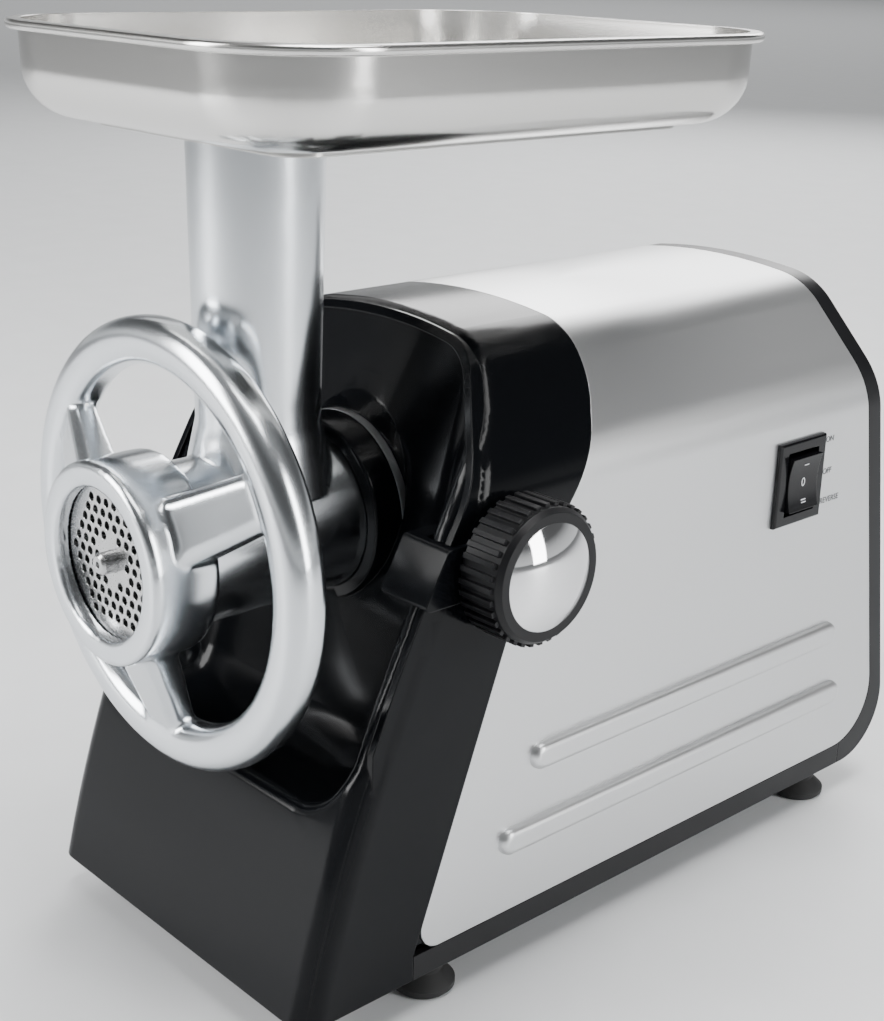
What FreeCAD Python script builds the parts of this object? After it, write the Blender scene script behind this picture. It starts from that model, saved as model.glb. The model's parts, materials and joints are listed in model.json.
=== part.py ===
import FreeCAD, Part
import math
import os
import re
import Sketcher

# Electric meat grinder, in millimetres. While it is modelled, X = 0 is the worm's axis (+X is the side
# with the lock knob and the switch), Y = 0 is the ring wheel's front face (+Y runs to the back) and Z = 0
# is the surface that the feet stand on. At the end every sub-part is placed so that the origin is the
# bottom centre of the whole machine's box.

os.makedirs("parts", exist_ok=True)
doc = FreeCAD.newDocument("meat_grinder")
sheet = doc.addObject("Spreadsheet::Sheet", "Sizes")

SIZES = [
    # housing section, across the machine
    ("body_half_width", 83.3), ("crown_peak", 252.5),
    ("shoulder_low", 204.0), ("shoulder_in", 50.0), ("shoulder_high", 245.5),
    ("shoulder_low_round", 35.0), ("shoulder_high_round", 30.0),
    # housing outline, seen from the side
    ("base_under", 15.6), ("cover_under", 26.0),
    ("front_low_y", 25.4), ("front_top_y", 134.0), ("front_bulge", 13.0), ("front_edge_round", 10.0),
    ("seam_low_y", 77.0), ("seam_bend_y", 122.0), ("seam_bend_z", 150.0), ("seam_lip_y", 177.0),
    ("seam_lip_z", 228.0), ("seam_top_y", 182.0), ("seam_round", 60.0), ("cover_front_round", 9.0),
    ("rear_low_y", 384.4), ("rear_top_y", 337.1), ("rear_rim", 9.4), ("rear_round", 28.0),
    ("shell_wall", 3.0), ("cover_gauge", 1.0), ("seam_gap", 0.3), ("tongue", 8.0), ("wall_gap", 0.3),
    ("rib_height", 3.6), ("rib_half", 5.5), ("rib_high_z", 88.9), ("rib_low_z", 57.3),
    ("rib_high_y1", 134.6), ("rib_high_y2", 330.0), ("rib_low_y1", 119.3), ("rib_low_y2", 338.1),
    # recess in the front shell and the boss round the barrel
    ("recess_half", 70.0), ("recess_floor", 88.0), ("recess_corner", 20.0), ("recess_back_low_y", 80.0),
    ("recess_back_top_y", 131.0), ("recess_bend", 22.0), ("recess_rim", 6.0), ("rim_band", 2.5),
    ("boss_front_y", 97.0), ("boss_radius", 35.5), ("boss_flare", 1.5), ("boss_sweep", 14.0),
    ("boss_back_y", 123.0), ("boss_edge", 1.5),
    # grinding head
    ("worm_height", 174.6), ("barrel_radius", 30.0), ("barrel_bore", 26.0), ("barrel_end_y", 122.0),
    ("head_radius", 33.8), ("head_front_y", 7.0), ("head_back_y", 27.0), ("key_radius", 1.6),
    ("plate_seat_y", 6.4), ("plate_radius", 31.0), ("plate_depth", 6.4), ("plate_hole", 1.6),
    ("plate_pitch", 4.8), ("plate_blank", 8.5), ("plate_field", 26.4),
    ("knife_radius", 26.5), ("knife_depth", 7.0), ("knife_width", 9.0), ("knife_chamber", 29.0),
    ("face_gap", 0.3), ("pin_radius", 4.0), ("run_gap", 0.05), ("pin_tip_y", 0.6),
    ("tube_y", 69.9), ("tube_low_radius", 22.4), ("tube_top_radius", 24.5), ("tube_bore", 20.0),
    ("tube_top", 316.6), ("spigot_depth", 14.0), ("spigot_wall", 1.6), ("spigot_bore", 19.0),
    ("worm_core", 11.0), ("worm_edge", 25.4), ("worm_pitch", 24.0), ("flight_root", 7.0),
    ("flight_tip", 3.6), ("worm_end_y", 101.0), ("journal_radius", 9.0), ("bush_wall", 3.0),
    ("tail_half", 6.0), ("tail_end_y", 138.0), ("tail_gap", 0.3),
    # ring wheel
    ("hub_radius", 36.8), ("hub_depth", 27.0), ("opening_radius", 27.6), ("ring_gap", 0.3),
    ("rim_radius", 83.0), ("rim_width", 17.0), ("rim_depth", 16.5), ("rim_front_y", 22.8),
    ("rim_round", 7.0), ("spoke_hub_width", 25.0), ("spoke_rim_width", 19.0), ("spoke_depth", 15.0),
    ("spoke_front_y", 9.5),
    # hopper tray
    ("tray_half_width", 87.0), ("tray_front_y", 12.4), ("tray_back_y", 256.0),
    ("tray_rim_z", "=tube_top + 34.6"),
    ("tray_round", 40.0), ("tray_gauge", 1.0), ("tray_taper", 1.0), ("tray_edge_round", 18.6),
    ("tray_step_in", 26.0), ("tray_step", 2.6), ("tray_bead", 1.7), ("tray_flange", 4.2),
    # lock knob and its screw
    ("lock_y", 115.6), ("knob_radius", 26.4), ("knob_back_x", "=body_half_width + 2.9"),
    ("knob_face_x", "=knob_back_x + 20.3"),
    ("knob_rib", 1.5), ("knob_ribs", 36), ("knob_cap_radius", 19.9), ("cap_rise", 5.0),
    ("screw_radius", 5.0), ("pad_radius", 7.0), ("pad_depth", 6.0), ("lock_gap", 0.3),
    ("saddle_in_x", 62.0), ("saddle_half_height", 10.4), ("saddle_proud", 4.6), ("saddle_back_y", 126.0),
    ("saddle_leg", 2.2),
    # socket and gear case
    ("socket_radius", 37.0), ("socket_front_y", 108.6), ("case_front_y", 126.0), ("case_plate", 6.0),
    ("case_wall", 3.0), ("gear_room", 2.0), ("stage_gap", 2.0), ("lid_depth", 4.0),
    # gear train: module, teeth and face width of each stage, from the motor on
    ("module_1", 1.0), ("pinion_1", 12), ("wheel_1", 60), ("face_1", 8.0),
    ("module_2", 1.25), ("pinion_2", 12), ("wheel_2", 48), ("face_2", 12.0),
    ("module_3", 1.75), ("pinion_3", 12), ("wheel_3", 48), ("face_3", 16.0),
    ("layshaft_angle", 228.0), ("layshaft_radius", 4.0), ("output_radius", 12.5), ("bearing_wall", 6.0),
    # motor
    ("motor_z", 90.0), ("motor_shaft", 4.0), ("fan_y", 187.0), ("fan_depth", 8.0), ("fan_radius", 38.0),
    ("bracket_front_y", 199.0), ("bracket_depth", 6.0), ("stator_front_y", 210.0),
    ("stator_depth", 46.0), ("stator_radius", 42.0), ("stator_bore", 27.5), ("rotor_radius", 26.9),
    ("coil_depth", 12.0), ("coil_radius", 37.0), ("commutator_radius", 14.0), ("commutator_depth", 16.0),
    ("bracket_rear_y", 294.0), ("motor_bearing", 9.0), ("brush_half", 4.0), ("brush_length", 22.0),
    # switch
    ("switch_y1", 274.8), ("switch_y2", 306.8), ("switch_z1", 150.3), ("switch_z2", 187.3),
    ("switch_proud", 2.4), ("switch_border", 5.5), ("rocker_gap", 0.4), ("rocker_crown", 5.0),
    ("switch_deep", 27.0),
    # feet, inlet, vents and screws
    ("foot_x", 70.2), ("foot_front_y", 94.3), ("foot_rear_y", 335.0), ("foot_radius", 12.4),
    ("foot_neck", 7.5), ("screw_shank", 2.0), ("screw_head", 4.0), ("screw_head_depth", 2.2),
    ("inlet_x", -52.0), ("inlet_z", 62.0), ("inlet_radius", 9.0), ("inlet_bore", 3.8),
    ("vent_half", 1.6), ("vent_pitch", 9.0), ("vent_count", 9), ("vent_low", 120.0), ("vent_high", 200.0),
    # how far every sub-part is moved to put the origin at the bottom centre of the whole box
    ("origin_x", 0.0), ("origin_y", 0.0), ("origin_z", 0.0),
]
ALIASES = set()
for row, (alias, value) in enumerate(SIZES, start=1):
    sheet.set("A%d" % row, alias)
    sheet.set("B%d" % row, str(value))
    sheet.setAlias("B%d" % row, alias)
    ALIASES.add(alias)
doc.recompute()


class Values:
    """The sheet's values by name, for the shapes that are made with Part's own functions."""

    def __getattr__(self, alias):
        return float(getattr(sheet, alias))


S = Values()
V = FreeCAD.Vector
NODES = {}


# ---------------------------------------------------------------- small helpers

def bound(expression):
    """Write an expression's sheet names out in full."""
    return re.sub(r"[a-z][a-z_0-9]*",
                  lambda word: "Sizes." + word.group(0) if word.group(0) in ALIASES else word.group(0),
                  str(expression))


def bind(obj, **properties):
    for name, expression in properties.items():
        obj.setExpression(name, bound(expression))
    return obj


def at(obj, x, y, z):
    obj.setExpression("Placement.Base.x", bound(x))
    obj.setExpression("Placement.Base.y", bound(y))
    obj.setExpression("Placement.Base.z", bound(z))
    return obj


TURNS = {"x": FreeCAD.Rotation(V(0, 1, 0), 90), "y": FreeCAD.Rotation(V(1, 0, 0), -90),
         "z": FreeCAD.Rotation()}


def box(name, x, y, z, length, width, height):
    obj = doc.addObject("Part::Box", name)
    return at(bind(obj, Length=length, Width=width, Height=height), x, y, z)


def rod(name, axis, x, y, z, radius, length):
    """A cylinder that starts at x, y, z and runs along +axis."""
    obj = doc.addObject("Part::Cylinder", name)
    obj.Placement = FreeCAD.Placement(V(0, 0, 0), TURNS[axis])
    return at(bind(obj, Radius=radius, Height=length), x, y, z)


def taper(name, axis, x, y, z, radius_start, radius_end, length):
    obj = doc.addObject("Part::Cone", name)
    obj.Placement = FreeCAD.Placement(V(0, 0, 0), TURNS[axis])
    return at(bind(obj, Radius1=radius_start, Radius2=radius_end, Height=length), x, y, z)


def fuse(name, *parts):
    obj = doc.addObject("Part::MultiFuse", name)
    obj.Shapes = list(parts)
    return obj


def cut(name, base, *tools):
    obj = doc.addObject("Part::Cut", name)
    obj.Base = base
    obj.Tool = tools[0] if len(tools) == 1 else fuse(name + "_tools", *tools)
    return obj


def group(name, parts):
    obj = doc.addObject("Part::Compound", name)
    obj.Links = list(parts)
    return obj


def solid(name, shape):
    """A sub-part whose shape is made with Part's own functions."""
    obj = doc.addObject("Part::Feature", name)
    obj.Shape = shape if shape.Placement.isIdentity() else Part.makeCompound([shape])
    return obj


def node(name, obj, x="0", y="0", z="0"):
    """Label a finished sub-part, place it by the origin's cells and keep it for export."""
    obj.Label = name
    at(obj, "origin_x + " + x, "origin_y + " + y, "origin_z + " + z)
    NODES[name] = obj
    return obj


PLANES = {"x": "XY_Plane", "y": "XY_Plane", "z": "XZ_Plane"}
AXES = {"x": "H_Axis", "y": "V_Axis", "z": "V_Axis"}


def lathe(name, axis, profile, x, y, z):
    """A turned body: the profile's points are (radius, distance along the axis), as expressions."""
    body = doc.addObject("PartDesign::Body", name)
    sketch = body.newObject("Sketcher::SketchObject", name + "_profile")
    plane = [f for f in body.Origin.OriginFeatures if f.Role == PLANES[axis]][0]
    sketch.AttachmentSupport = [(plane, "")]
    sketch.MapMode = "FlatFace"
    count = len(profile)
    seed = [V(math.cos(2 * math.pi * i / count) + 2, math.sin(2 * math.pi * i / count), 0)
            for i in range(count)]
    for i in range(count):
        sketch.addGeometry(Part.LineSegment(seed[i], seed[(i + 1) % count]), False)
    for i in range(count):
        sketch.addConstraint(Sketcher.Constraint("Coincident", i, 2, (i + 1) % count, 1))
    for i, (radius, along) in enumerate(profile):
        across = [radius, along] if axis != "x" else [along, radius]
        for kind, expression, start in (("DistanceX", across[0], seed[i].x),
                                        ("DistanceY", across[1], seed[i].y)):
            index = sketch.addConstraint(Sketcher.Constraint(kind, -1, 1, i, 1, start))
            sketch.setExpression("Constraints[%d]" % index, bound(expression))
    turn = body.newObject("PartDesign::Revolution", name + "_turn")
    turn.Profile = sketch
    turn.ReferenceAxis = (sketch, [AXES[axis]])
    turn.Angle = 360
    return at(body, x, y, z)


def corners(points, radii):
    """Each corner's (radius, run): the run is how far its arc reaches along the sides beside it.

    A radius of None is the largest that its two sides leave room for.
    """
    count = len(points)
    halves, found = [], []
    for i in range(count):
        p = V(points[i][0], points[i][1], 0)
        before = V(points[i - 1][0], points[i - 1][1], 0) - p
        after = V(points[(i + 1) % count][0], points[(i + 1) % count][1], 0) - p
        halves.append((before.getAngle(after) / 2, before.Length, after.Length))
        found.append(0.0 if radii[i] is None else radii[i] / math.tan(halves[i][0]))
    for i in range(count):
        if radii[i] is None:
            room = min(halves[i][1] - found[i - 1], halves[i][2] - found[(i + 1) % count])
            found[i] = 0.98 * room
    return [(found[i] * math.tan(halves[i][0]), found[i]) for i in range(count)]


def rounded_wire(points, radii, to_vector):
    """A closed wire of straight runs with tangent arcs at its corners."""
    count = len(points)
    sizes = corners(points, radii)
    pieces = []
    for i in range(count):
        p = V(points[i][0], points[i][1], 0)
        before = V(points[i - 1][0], points[i - 1][1], 0) - p
        after = V(points[(i + 1) % count][0], points[(i + 1) % count][1], 0) - p
        before.normalize()
        after.normalize()
        radius, run = sizes[i]
        if run < 1e-6:
            pieces.append((p, None, p))
            continue
        bisector = V(before + after)
        bisector.normalize()
        middle = p + bisector * (math.hypot(radius, run) - radius)
        pieces.append((p + before * run, middle, p + after * run))
    edges = []
    for i in range(count):
        start, middle, end = pieces[i]
        if middle:
            edges.append(Part.Arc(to_vector(start), to_vector(middle), to_vector(end)).toShape())
        following = pieces[(i + 1) % count][0]
        if (following - end).Length > 1e-6:
            edges.append(Part.LineSegment(to_vector(end), to_vector(following)).toShape())
    return Part.Wire(edges)


def inset_outline(points, radii, distance):
    """The outline moved in by distance: its points run clockwise, and a bend's radius follows."""
    count = len(points)
    sizes = corners(points, radii)
    moved, rounds = [], []
    for i in range(count):
        p = V(points[i][0], points[i][1], 0)
        a = p - V(points[i - 1][0], points[i - 1][1], 0)
        b = V(points[(i + 1) % count][0], points[(i + 1) % count][1], 0) - p
        a.normalize()
        b.normalize()
        normal_a, normal_b = V(a.y, -a.x, 0), V(b.y, -b.x, 0)
        shift = (normal_a + normal_b) * (distance / (1 + normal_a.dot(normal_b)))
        moved.append((p.x + shift.x, p.y + shift.y))
        turns_in = a.cross(b).z < 0
        radius = sizes[i][0]
        rounds.append(0.0 if radius == 0 else max(radius - distance if turns_in else radius + distance, 0.2))
    return moved, rounds


def prism(points, radii, to_vector, along):
    """A prism over the rounded outline."""
    return Part.Face(rounded_wire(points, radii, to_vector)).extrude(along)


# ---------------------------------------------------------------- housing outlines

FAR = 500.0
SIDE = 200.0


def section_prism(inset, low, y1, y2):
    """The housing's section, moved in by inset and cut off below low, from y1 to y2."""
    half = S.body_half_width
    under = S.base_under - FAR
    points = [(-half, under), (-half, S.shoulder_low), (-S.shoulder_in, S.shoulder_high),
              (0.0, S.crown_peak), (S.shoulder_in, S.shoulder_high), (half, S.shoulder_low), (half, under)]
    radii = [0, S.shoulder_low_round, S.shoulder_high_round, None, S.shoulder_high_round,
             S.shoulder_low_round, 0]
    moved, rounds = inset_outline(points, radii, inset)
    body = prism(moved, rounds, lambda p: V(p.x, y1, p.y), V(0, y2 - y1, 0))
    return body.common(Part.makeBox(4 * half, y2 - y1, 2 * FAR, V(-2 * half, y1, low)))


def side_prism(points, radii, x1, x2):
    """A prism across the machine over an outline in Y and Z."""
    return prism(points, radii, lambda p: V(x1, p.x, p.y), V(x2 - x1, 0, 0))


def rear_y(z, forward=0.0):
    """The leaning rear face's Y at height z, moved forward."""
    share = (z - S.base_under) / (S.crown_peak - S.base_under)
    return S.rear_low_y + (S.rear_top_y - S.rear_low_y) * share - forward


def front_arc_top(y):
    """The front outline's points: its foot, the corner that bends it, and its top, moved back by y."""
    foot = V(S.front_low_y, S.base_under, 0)
    top = V(S.front_top_y, S.crown_peak, 0)
    run = top - foot
    outward = V(-run.y, run.x, 0)
    outward.normalize()
    bend = (foot + top) * 0.5 + outward * (2 * S.front_bulge)
    return [(foot.x + y, foot.y), (bend.x + y, bend.y), (top.x + y, top.y)]


SEAM = [(S.seam_low_y, S.cover_under), (S.seam_bend_y, S.seam_bend_z), (S.seam_lip_y, S.seam_lip_z),
        (S.seam_top_y, S.crown_peak + SIDE)]
SEAM_ROUNDS = [0, S.seam_round, S.seam_round / 2, 0]


def ahead_of_seam(back, low):
    """The side outline in front of the cover's front edge, reaching back past it by back."""
    foot, bend, top = front_arc_top(0)
    seam = [(y + back, z) for y, z in SEAM]
    return ([foot, bend, top, (top[0], seam[3][1]), seam[3], seam[2], seam[1], seam[0],
             (seam[0][0], low)], [0, None, 0, 0, 0] + [SEAM_ROUNDS[2], SEAM_ROUNDS[1], 0, 0])


# ---------------------------------------------------------------- front shell

outline, rounds = ahead_of_seam(0, S.base_under)
hull = section_prism(0, S.base_under, 0, FAR).common(side_prism(outline, rounds, -SIDE, SIDE))


def front_edges(shape):
    """The edges where the front face meets the sides and the shoulders."""
    found = []
    for edge in shape.Edges:
        middle = edge.valueAt((edge.FirstParameter + edge.LastParameter) / 2)
        spread = edge.BoundBox
        outer = abs(middle.x) > S.shoulder_in * 0.9 and spread.ZLength > 3
        ahead = middle.y < S.seam_low_y - 6 + (middle.z - S.cover_under) * 0.36
        if outer and ahead and spread.ZMin > S.base_under - 1 and spread.ZMax < S.shoulder_high + 0.5:
            found.append(edge)
    return found


hull = hull.makeFillet(S.front_edge_round, front_edges(hull))
recess_side = [(-40.0, S.recess_floor), (-40.0, S.crown_peak + 40),
               (S.recess_back_top_y, S.crown_peak + 40), (S.recess_back_top_y, S.crown_peak - 2),
               (S.recess_back_low_y, S.recess_floor)]


def recess(grow):
    """The scooped recess between the cheeks, grown by the shell's wall."""
    points, bends = inset_outline(recess_side, [0, 0, 0, 0, S.recess_bend], -grow)
    half = S.recess_half + grow
    scoop = side_prism(points, bends, -half, half)
    edges = []
    for edge in scoop.Edges:
        bounds = edge.BoundBox
        level = bounds.XLength < 0.01 and abs(abs(bounds.XMin) - half) < 0.01
        behind = bounds.YMax > 0 and bounds.ZMin < S.crown_peak - 3 and bounds.YMin > -60
        if level and behind and not (bounds.YLength < 0.01 and bounds.ZMax > S.crown_peak + 10):
            edges.append(edge)
    return scoop.makeFillet(S.recess_corner + grow, edges)


inner_points, inner_rounds = inset_outline(outline[:3] + [(outline[2][0], outline[3][1])]
                                           + [(FAR, outline[3][1]), (FAR, S.base_under)],
                                           [0, None, 0, 0, 0, 0], S.shell_wall)
hollow = section_prism(S.shell_wall, S.base_under + S.shell_wall, 0, FAR)
hollow = hollow.common(side_prism(inner_points, inner_rounds, -SIDE, SIDE))
hollow = hollow.cut(recess(S.shell_wall))


def round_bar(axis, x, y, z, radius, length):
    """A plain cylinder shape that starts at x, y, z."""
    along = {"x": V(1, 0, 0), "y": V(0, 1, 0), "z": V(0, 0, 1)}[axis]
    return Part.makeCylinder(radius, length, V(x, y, z), along)


def swept_boss():
    """The round boss whose foot sweeps out into the recess's back wall."""
    foot = S.boss_radius + S.boss_flare
    bend_y = S.boss_back_y - S.boss_sweep
    turn = math.radians(45)
    middle = V(0, bend_y + S.boss_sweep * math.sin(turn),
               S.worm_height + foot + S.boss_sweep * (1 - math.cos(turn)))
    corner = [V(0, S.boss_front_y, S.worm_height), V(0, S.boss_front_y, S.worm_height + S.boss_radius),
              V(0, bend_y, S.worm_height + foot)]
    back = [V(0, S.boss_back_y, S.worm_height + foot + S.boss_sweep), V(0, S.boss_back_y, S.worm_height)]
    edges = [Part.makeLine(corner[0], corner[1]), Part.makeLine(corner[1], corner[2]),
             Part.Arc(corner[2], middle, back[0]).toShape(), Part.makeLine(back[0], back[1]),
             Part.makeLine(back[1], corner[0])]
    turned = Part.Face(Part.Wire(edges)).revolve(V(0, 0, S.worm_height), V(0, 1, 0), 360)
    front = [edge for edge in turned.Edges
             if edge.BoundBox.YMax < S.boss_front_y + S.seam_gap and edge.Length > S.boss_radius]
    return turned.makeFillet(S.boss_edge, front)


boss = swept_boss()
barrel_way = round_bar("y", 0, 0, S.worm_height, S.barrel_radius + S.wall_gap, FAR)
lock_way = round_bar("x", S.barrel_radius, S.lock_y, S.worm_height, S.pad_radius + S.wall_gap, FAR)

# the tongue slides under the steel cover behind the seam
tongue_outline, tongue_rounds = ahead_of_seam(S.tongue, S.cover_under + S.shell_wall)
tongue_inset = S.cover_gauge + S.seam_gap
tongue = section_prism(tongue_inset, S.cover_under + S.shell_wall, S.seam_low_y - 20, FAR)
tongue = tongue.common(side_prism(tongue_outline, tongue_rounds, -SIDE, SIDE))
tongue = tongue.cut(section_prism(tongue_inset + S.shell_wall, 0, 0, FAR))

# the saddle that carries the lock screw straddles one cheek
saddle_low = S.worm_height - S.saddle_half_height
saddle_high = S.worm_height + S.saddle_half_height


def front_y(z, proud=0.0):
    """The front face's Y at height z, taken on the arc through its three points."""
    foot, bend, top = front_arc_top(0)
    share = (z - foot[1]) / (top[1] - foot[1])
    chord = foot[0] + (top[0] - foot[0]) * share
    sag = 4 * share * (1 - share) * S.front_bulge
    return chord - sag * math.hypot(top[0] - foot[0], top[1] - foot[1]) / (top[1] - foot[1]) - proud


saddle_outline = [(front_y(saddle_low, S.saddle_proud), saddle_low),
                  (front_y(saddle_high, S.saddle_proud), saddle_high),
                  (S.saddle_back_y, saddle_high), (S.saddle_back_y, saddle_low)]
saddle_out_x = S.body_half_width + S.seam_gap + S.saddle_leg
saddle = side_prism(saddle_outline, [2.0, 2.0, 0, 0], S.saddle_in_x, saddle_out_x)
straddle_outline = [(front_y(saddle_low, 3 * S.wall_gap), saddle_low),
                    (front_y(saddle_high, 3 * S.wall_gap), saddle_high),
                    (FAR, saddle_high + S.wall_gap), (FAR, saddle_low - S.wall_gap)]
straddle = side_prism(straddle_outline, [0, 0, 0, 0], S.recess_half - S.wall_gap,
                      S.body_half_width + S.wall_gap)
screw_way = round_bar("x", 0, S.lock_y, S.worm_height, S.screw_radius + S.run_gap, SIDE)
saddle = saddle.cut(straddle).cut(screw_way)
slot = [(y - S.wall_gap if y < S.lock_y else y + S.wall_gap, z) for y, z in saddle_outline]
saddle_slot = side_prism([(slot[0][0], saddle_low - S.wall_gap), (slot[1][0], saddle_high + S.wall_gap),
                          (slot[2][0], saddle_high + S.wall_gap), (slot[3][0], saddle_low - S.wall_gap)],
                         [0, 0, 0, 0], S.saddle_in_x - S.wall_gap, S.recess_half - S.wall_gap)

socket_way = round_bar("y", 0, S.socket_front_y - S.wall_gap, S.worm_height,
                       S.socket_radius + S.wall_gap, FAR)


def scooped(shape):
    """The shell with the recess cut and the cheeks' inner rims rounded."""
    shape = shape.cut(recess(0))
    rims = []
    for edge in shape.Edges:
        middle = edge.valueAt((edge.FirstParameter + edge.LastParameter) / 2)
        on_front = abs(middle.y - front_y(middle.z)) < S.rim_band
        if on_front and abs(middle.x) < S.recess_half + 1 and middle.z > S.recess_floor - 1:
            rims.append(edge)
    return shape.makeFillet(S.recess_rim, rims)


front_shape = scooped(hull).cut(hollow).fuse(boss).cut(barrel_way).cut(socket_way).fuse(tongue)
screw_clear = round_bar("x", 0, S.lock_y, S.worm_height, S.screw_radius + 1, SIDE)
front_shape = front_shape.cut(saddle_slot).cut(screw_clear).cut(lock_way.common(
    Part.makeBox(S.saddle_in_x - S.barrel_radius, FAR, FAR, V(S.barrel_radius, 0, 0))))
front_shell = node("front_shell", solid("front_shell", front_shape))
lock_saddle = node("lock_saddle", solid("lock_saddle", saddle))

# ---------------------------------------------------------------- steel cover

cover_outline = list(SEAM[:3]) + [(SEAM[3][0], SEAM[3][1]), (rear_y(SEAM[3][1], S.rear_rim), SEAM[3][1]),
                                  (rear_y(S.cover_under, S.rear_rim), S.cover_under)]
cover_rounds = [S.cover_front_round, S.seam_round, S.seam_round / 2, 0, 0, S.rear_round - 3]
cover_shape = section_prism(0, S.cover_under, 0, FAR).cut(section_prism(S.cover_gauge, 0, 0, FAR))
cover_shape = cover_shape.common(side_prism(cover_outline, cover_rounds, -SIDE, SIDE))


def side_rib(y1, y2, z):
    """A long raised rib with round ends, standing on the cover's right side; the left one mirrors it."""
    half = S.rib_half
    wire = rounded_wire([(y1, z - half), (y1, z + half), (y2, z + half), (y2, z - half)],
                        [half * 0.98] * 4, lambda p: V(S.body_half_width - S.cover_gauge / 2, p.x, p.y))
    rib = Part.Face(wire).extrude(V(S.rib_height + S.cover_gauge / 2, 0, 0))
    top = [edge for edge in rib.Edges if edge.BoundBox.XMin > S.body_half_width + S.rib_height - 0.01]
    return rib.makeFillet(S.rib_height * 0.8, top)


ribs = [side_rib(S.rib_high_y1, S.rib_high_y2, S.rib_high_z),
        side_rib(S.rib_low_y1, S.rib_low_y2, S.rib_low_z)]
for rib in ribs:
    cover_shape = cover_shape.fuse(rib).fuse(rib.mirror(V(0, 0, 0), V(1, 0, 0)))
switch_hole = Part.makeBox(SIDE, S.switch_y2 - S.switch_y1 - 4, S.switch_z2 - S.switch_z1 - 4,
                           V(0, S.switch_y1 + 2, S.switch_z1 + 2))
steel_cover = node("steel_cover", solid("steel_cover", cover_shape.cut(switch_hole)))

# ---------------------------------------------------------------- base plate and rear cover

base_top = S.cover_under - S.seam_gap
base_start = S.seam_low_y + S.seam_gap
base_end = rear_y(S.base_under, S.rear_rim) - S.rear_round
base_side = [(base_start, S.base_under), (base_start, base_top), (base_end, base_top),
             (base_end, S.base_under)]
base_shape = section_prism(0, S.base_under, 0, FAR).common(side_prism(base_side, [0] * 4, -SIDE, SIDE))
base_shape = base_shape.cut(Part.makeBox(2 * (S.body_half_width - S.shell_wall),
                                         base_end - base_start - 2 * S.shell_wall, SIDE,
                                         V(S.shell_wall - S.body_half_width, base_start + S.shell_wall,
                                           S.base_under + S.shell_wall)))
rear_outline = [(rear_y(S.base_under, S.rear_rim) - S.rear_round + S.seam_gap, S.base_under),
                (rear_y(S.base_under, S.rear_rim) - S.rear_round + S.seam_gap, S.cover_under),
                (rear_y(S.cover_under, S.rear_rim), S.cover_under),
                (rear_y(S.crown_peak + 20, S.rear_rim), S.crown_peak + 20),
                (rear_y(S.crown_peak + 20), S.crown_peak + 20), (rear_y(S.base_under), S.base_under)]
gap_outline = [rear_outline[0], (rear_outline[1][0], S.cover_under - S.seam_gap),
               (rear_y(S.cover_under, S.rear_rim - S.seam_gap), S.cover_under - S.seam_gap),
               (rear_y(S.crown_peak + 20, S.rear_rim - S.seam_gap), S.crown_peak + 20),
               rear_outline[4], rear_outline[5]]
rear_shape = section_prism(0, S.base_under, 0, FAR)
rear_shape = rear_shape.common(side_prism(gap_outline, [0, 0, S.rear_round - 3, 0, 0, S.rear_round],
                                          -SIDE, SIDE))
dish = section_prism(S.shell_wall, S.base_under + S.shell_wall, 0, FAR)
dish = dish.common(side_prism([(rear_y(S.base_under, S.rear_rim) - 2 * S.rear_round, S.base_under),
                               (rear_y(S.base_under, S.rear_rim) - 2 * S.rear_round, S.crown_peak + 20),
                               (rear_y(S.crown_peak + 20, S.shell_wall), S.crown_peak + 20),
                               (rear_y(S.base_under, S.shell_wall), S.base_under)],
                              [0, 0, 0, S.rear_round - S.shell_wall], -SIDE, SIDE))
rear_shape = rear_shape.cut(dish)

for index in range(int(S.vent_count)):
    across = (index - (S.vent_count - 1) / 2) * S.vent_pitch
    for low, high in ((S.vent_low, (S.vent_low + S.vent_high) / 2 - 4),
                      ((S.vent_low + S.vent_high) / 2 + 4, S.vent_high)):
        rear_shape = rear_shape.cut(Part.makeBox(2 * S.vent_half, FAR, high - low,
                                                 V(across - S.vent_half, 0, low)))
inlet_y = rear_y(S.inlet_z)
inlet_way = round_bar("y", S.inlet_x, inlet_y - 40, S.inlet_z, S.inlet_radius - 2 + S.wall_gap, 80)
rear_shape = rear_shape.cut(inlet_way)

# feet: a rubber mushroom with a screw up through it into the base plate
foot_places = [("foot_x * %d" % side, y) for side in (-1, 1) for y in ("foot_front_y", "foot_rear_y")]
feet, foot_screws = [], []
for index, (x, y) in enumerate(foot_places):
    foot = lathe("foot_%d" % index, "z",
                 [("screw_shank + run_gap", "screw_head_depth + 1"), ("screw_head + 0.5", "screw_head_depth + 1"),
                  ("screw_head + 0.5", "0"), ("foot_radius - 1.5", "0"), ("foot_radius", "1.5"),
                  ("foot_radius", "3.6"), ("foot_radius - 1.6", "5.2"), ("foot_neck", "8.4"),
                  ("foot_neck", "base_under"), ("screw_shank + run_gap", "base_under")], x, y, "0")
    feet.append(foot)
    shank = rod("foot_screw_shank_%d" % index, "z", x, y, "screw_head_depth + 1", "screw_shank",
                "base_under + shell_wall + 3 - screw_head_depth - 1")
    head = rod("foot_screw_head_%d" % index, "z", x, y, "1", "screw_head", "screw_head_depth")
    socket = rod("foot_screw_drive_%d" % index, "z", x, y, "0.5", "screw_shank * 0.8", "1.6")
    screw_body = fuse("foot_screw_body_%d" % index, shank, head)
    foot_screws.append(cut("foot_screw_%d" % index, screw_body, socket))
    hole = Part.makeCylinder(S.screw_shank + S.run_gap, 2 * S.base_under,
                             V(S.foot_x * (-1 if index < 2 else 1),
                               S.foot_front_y if index % 2 == 0 else S.foot_rear_y, 0))
    base_shape = base_shape.cut(hole)
node("rubber_feet", group("rubber_feet", feet))
node("foot_screws", group("foot_screws", foot_screws))

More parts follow.
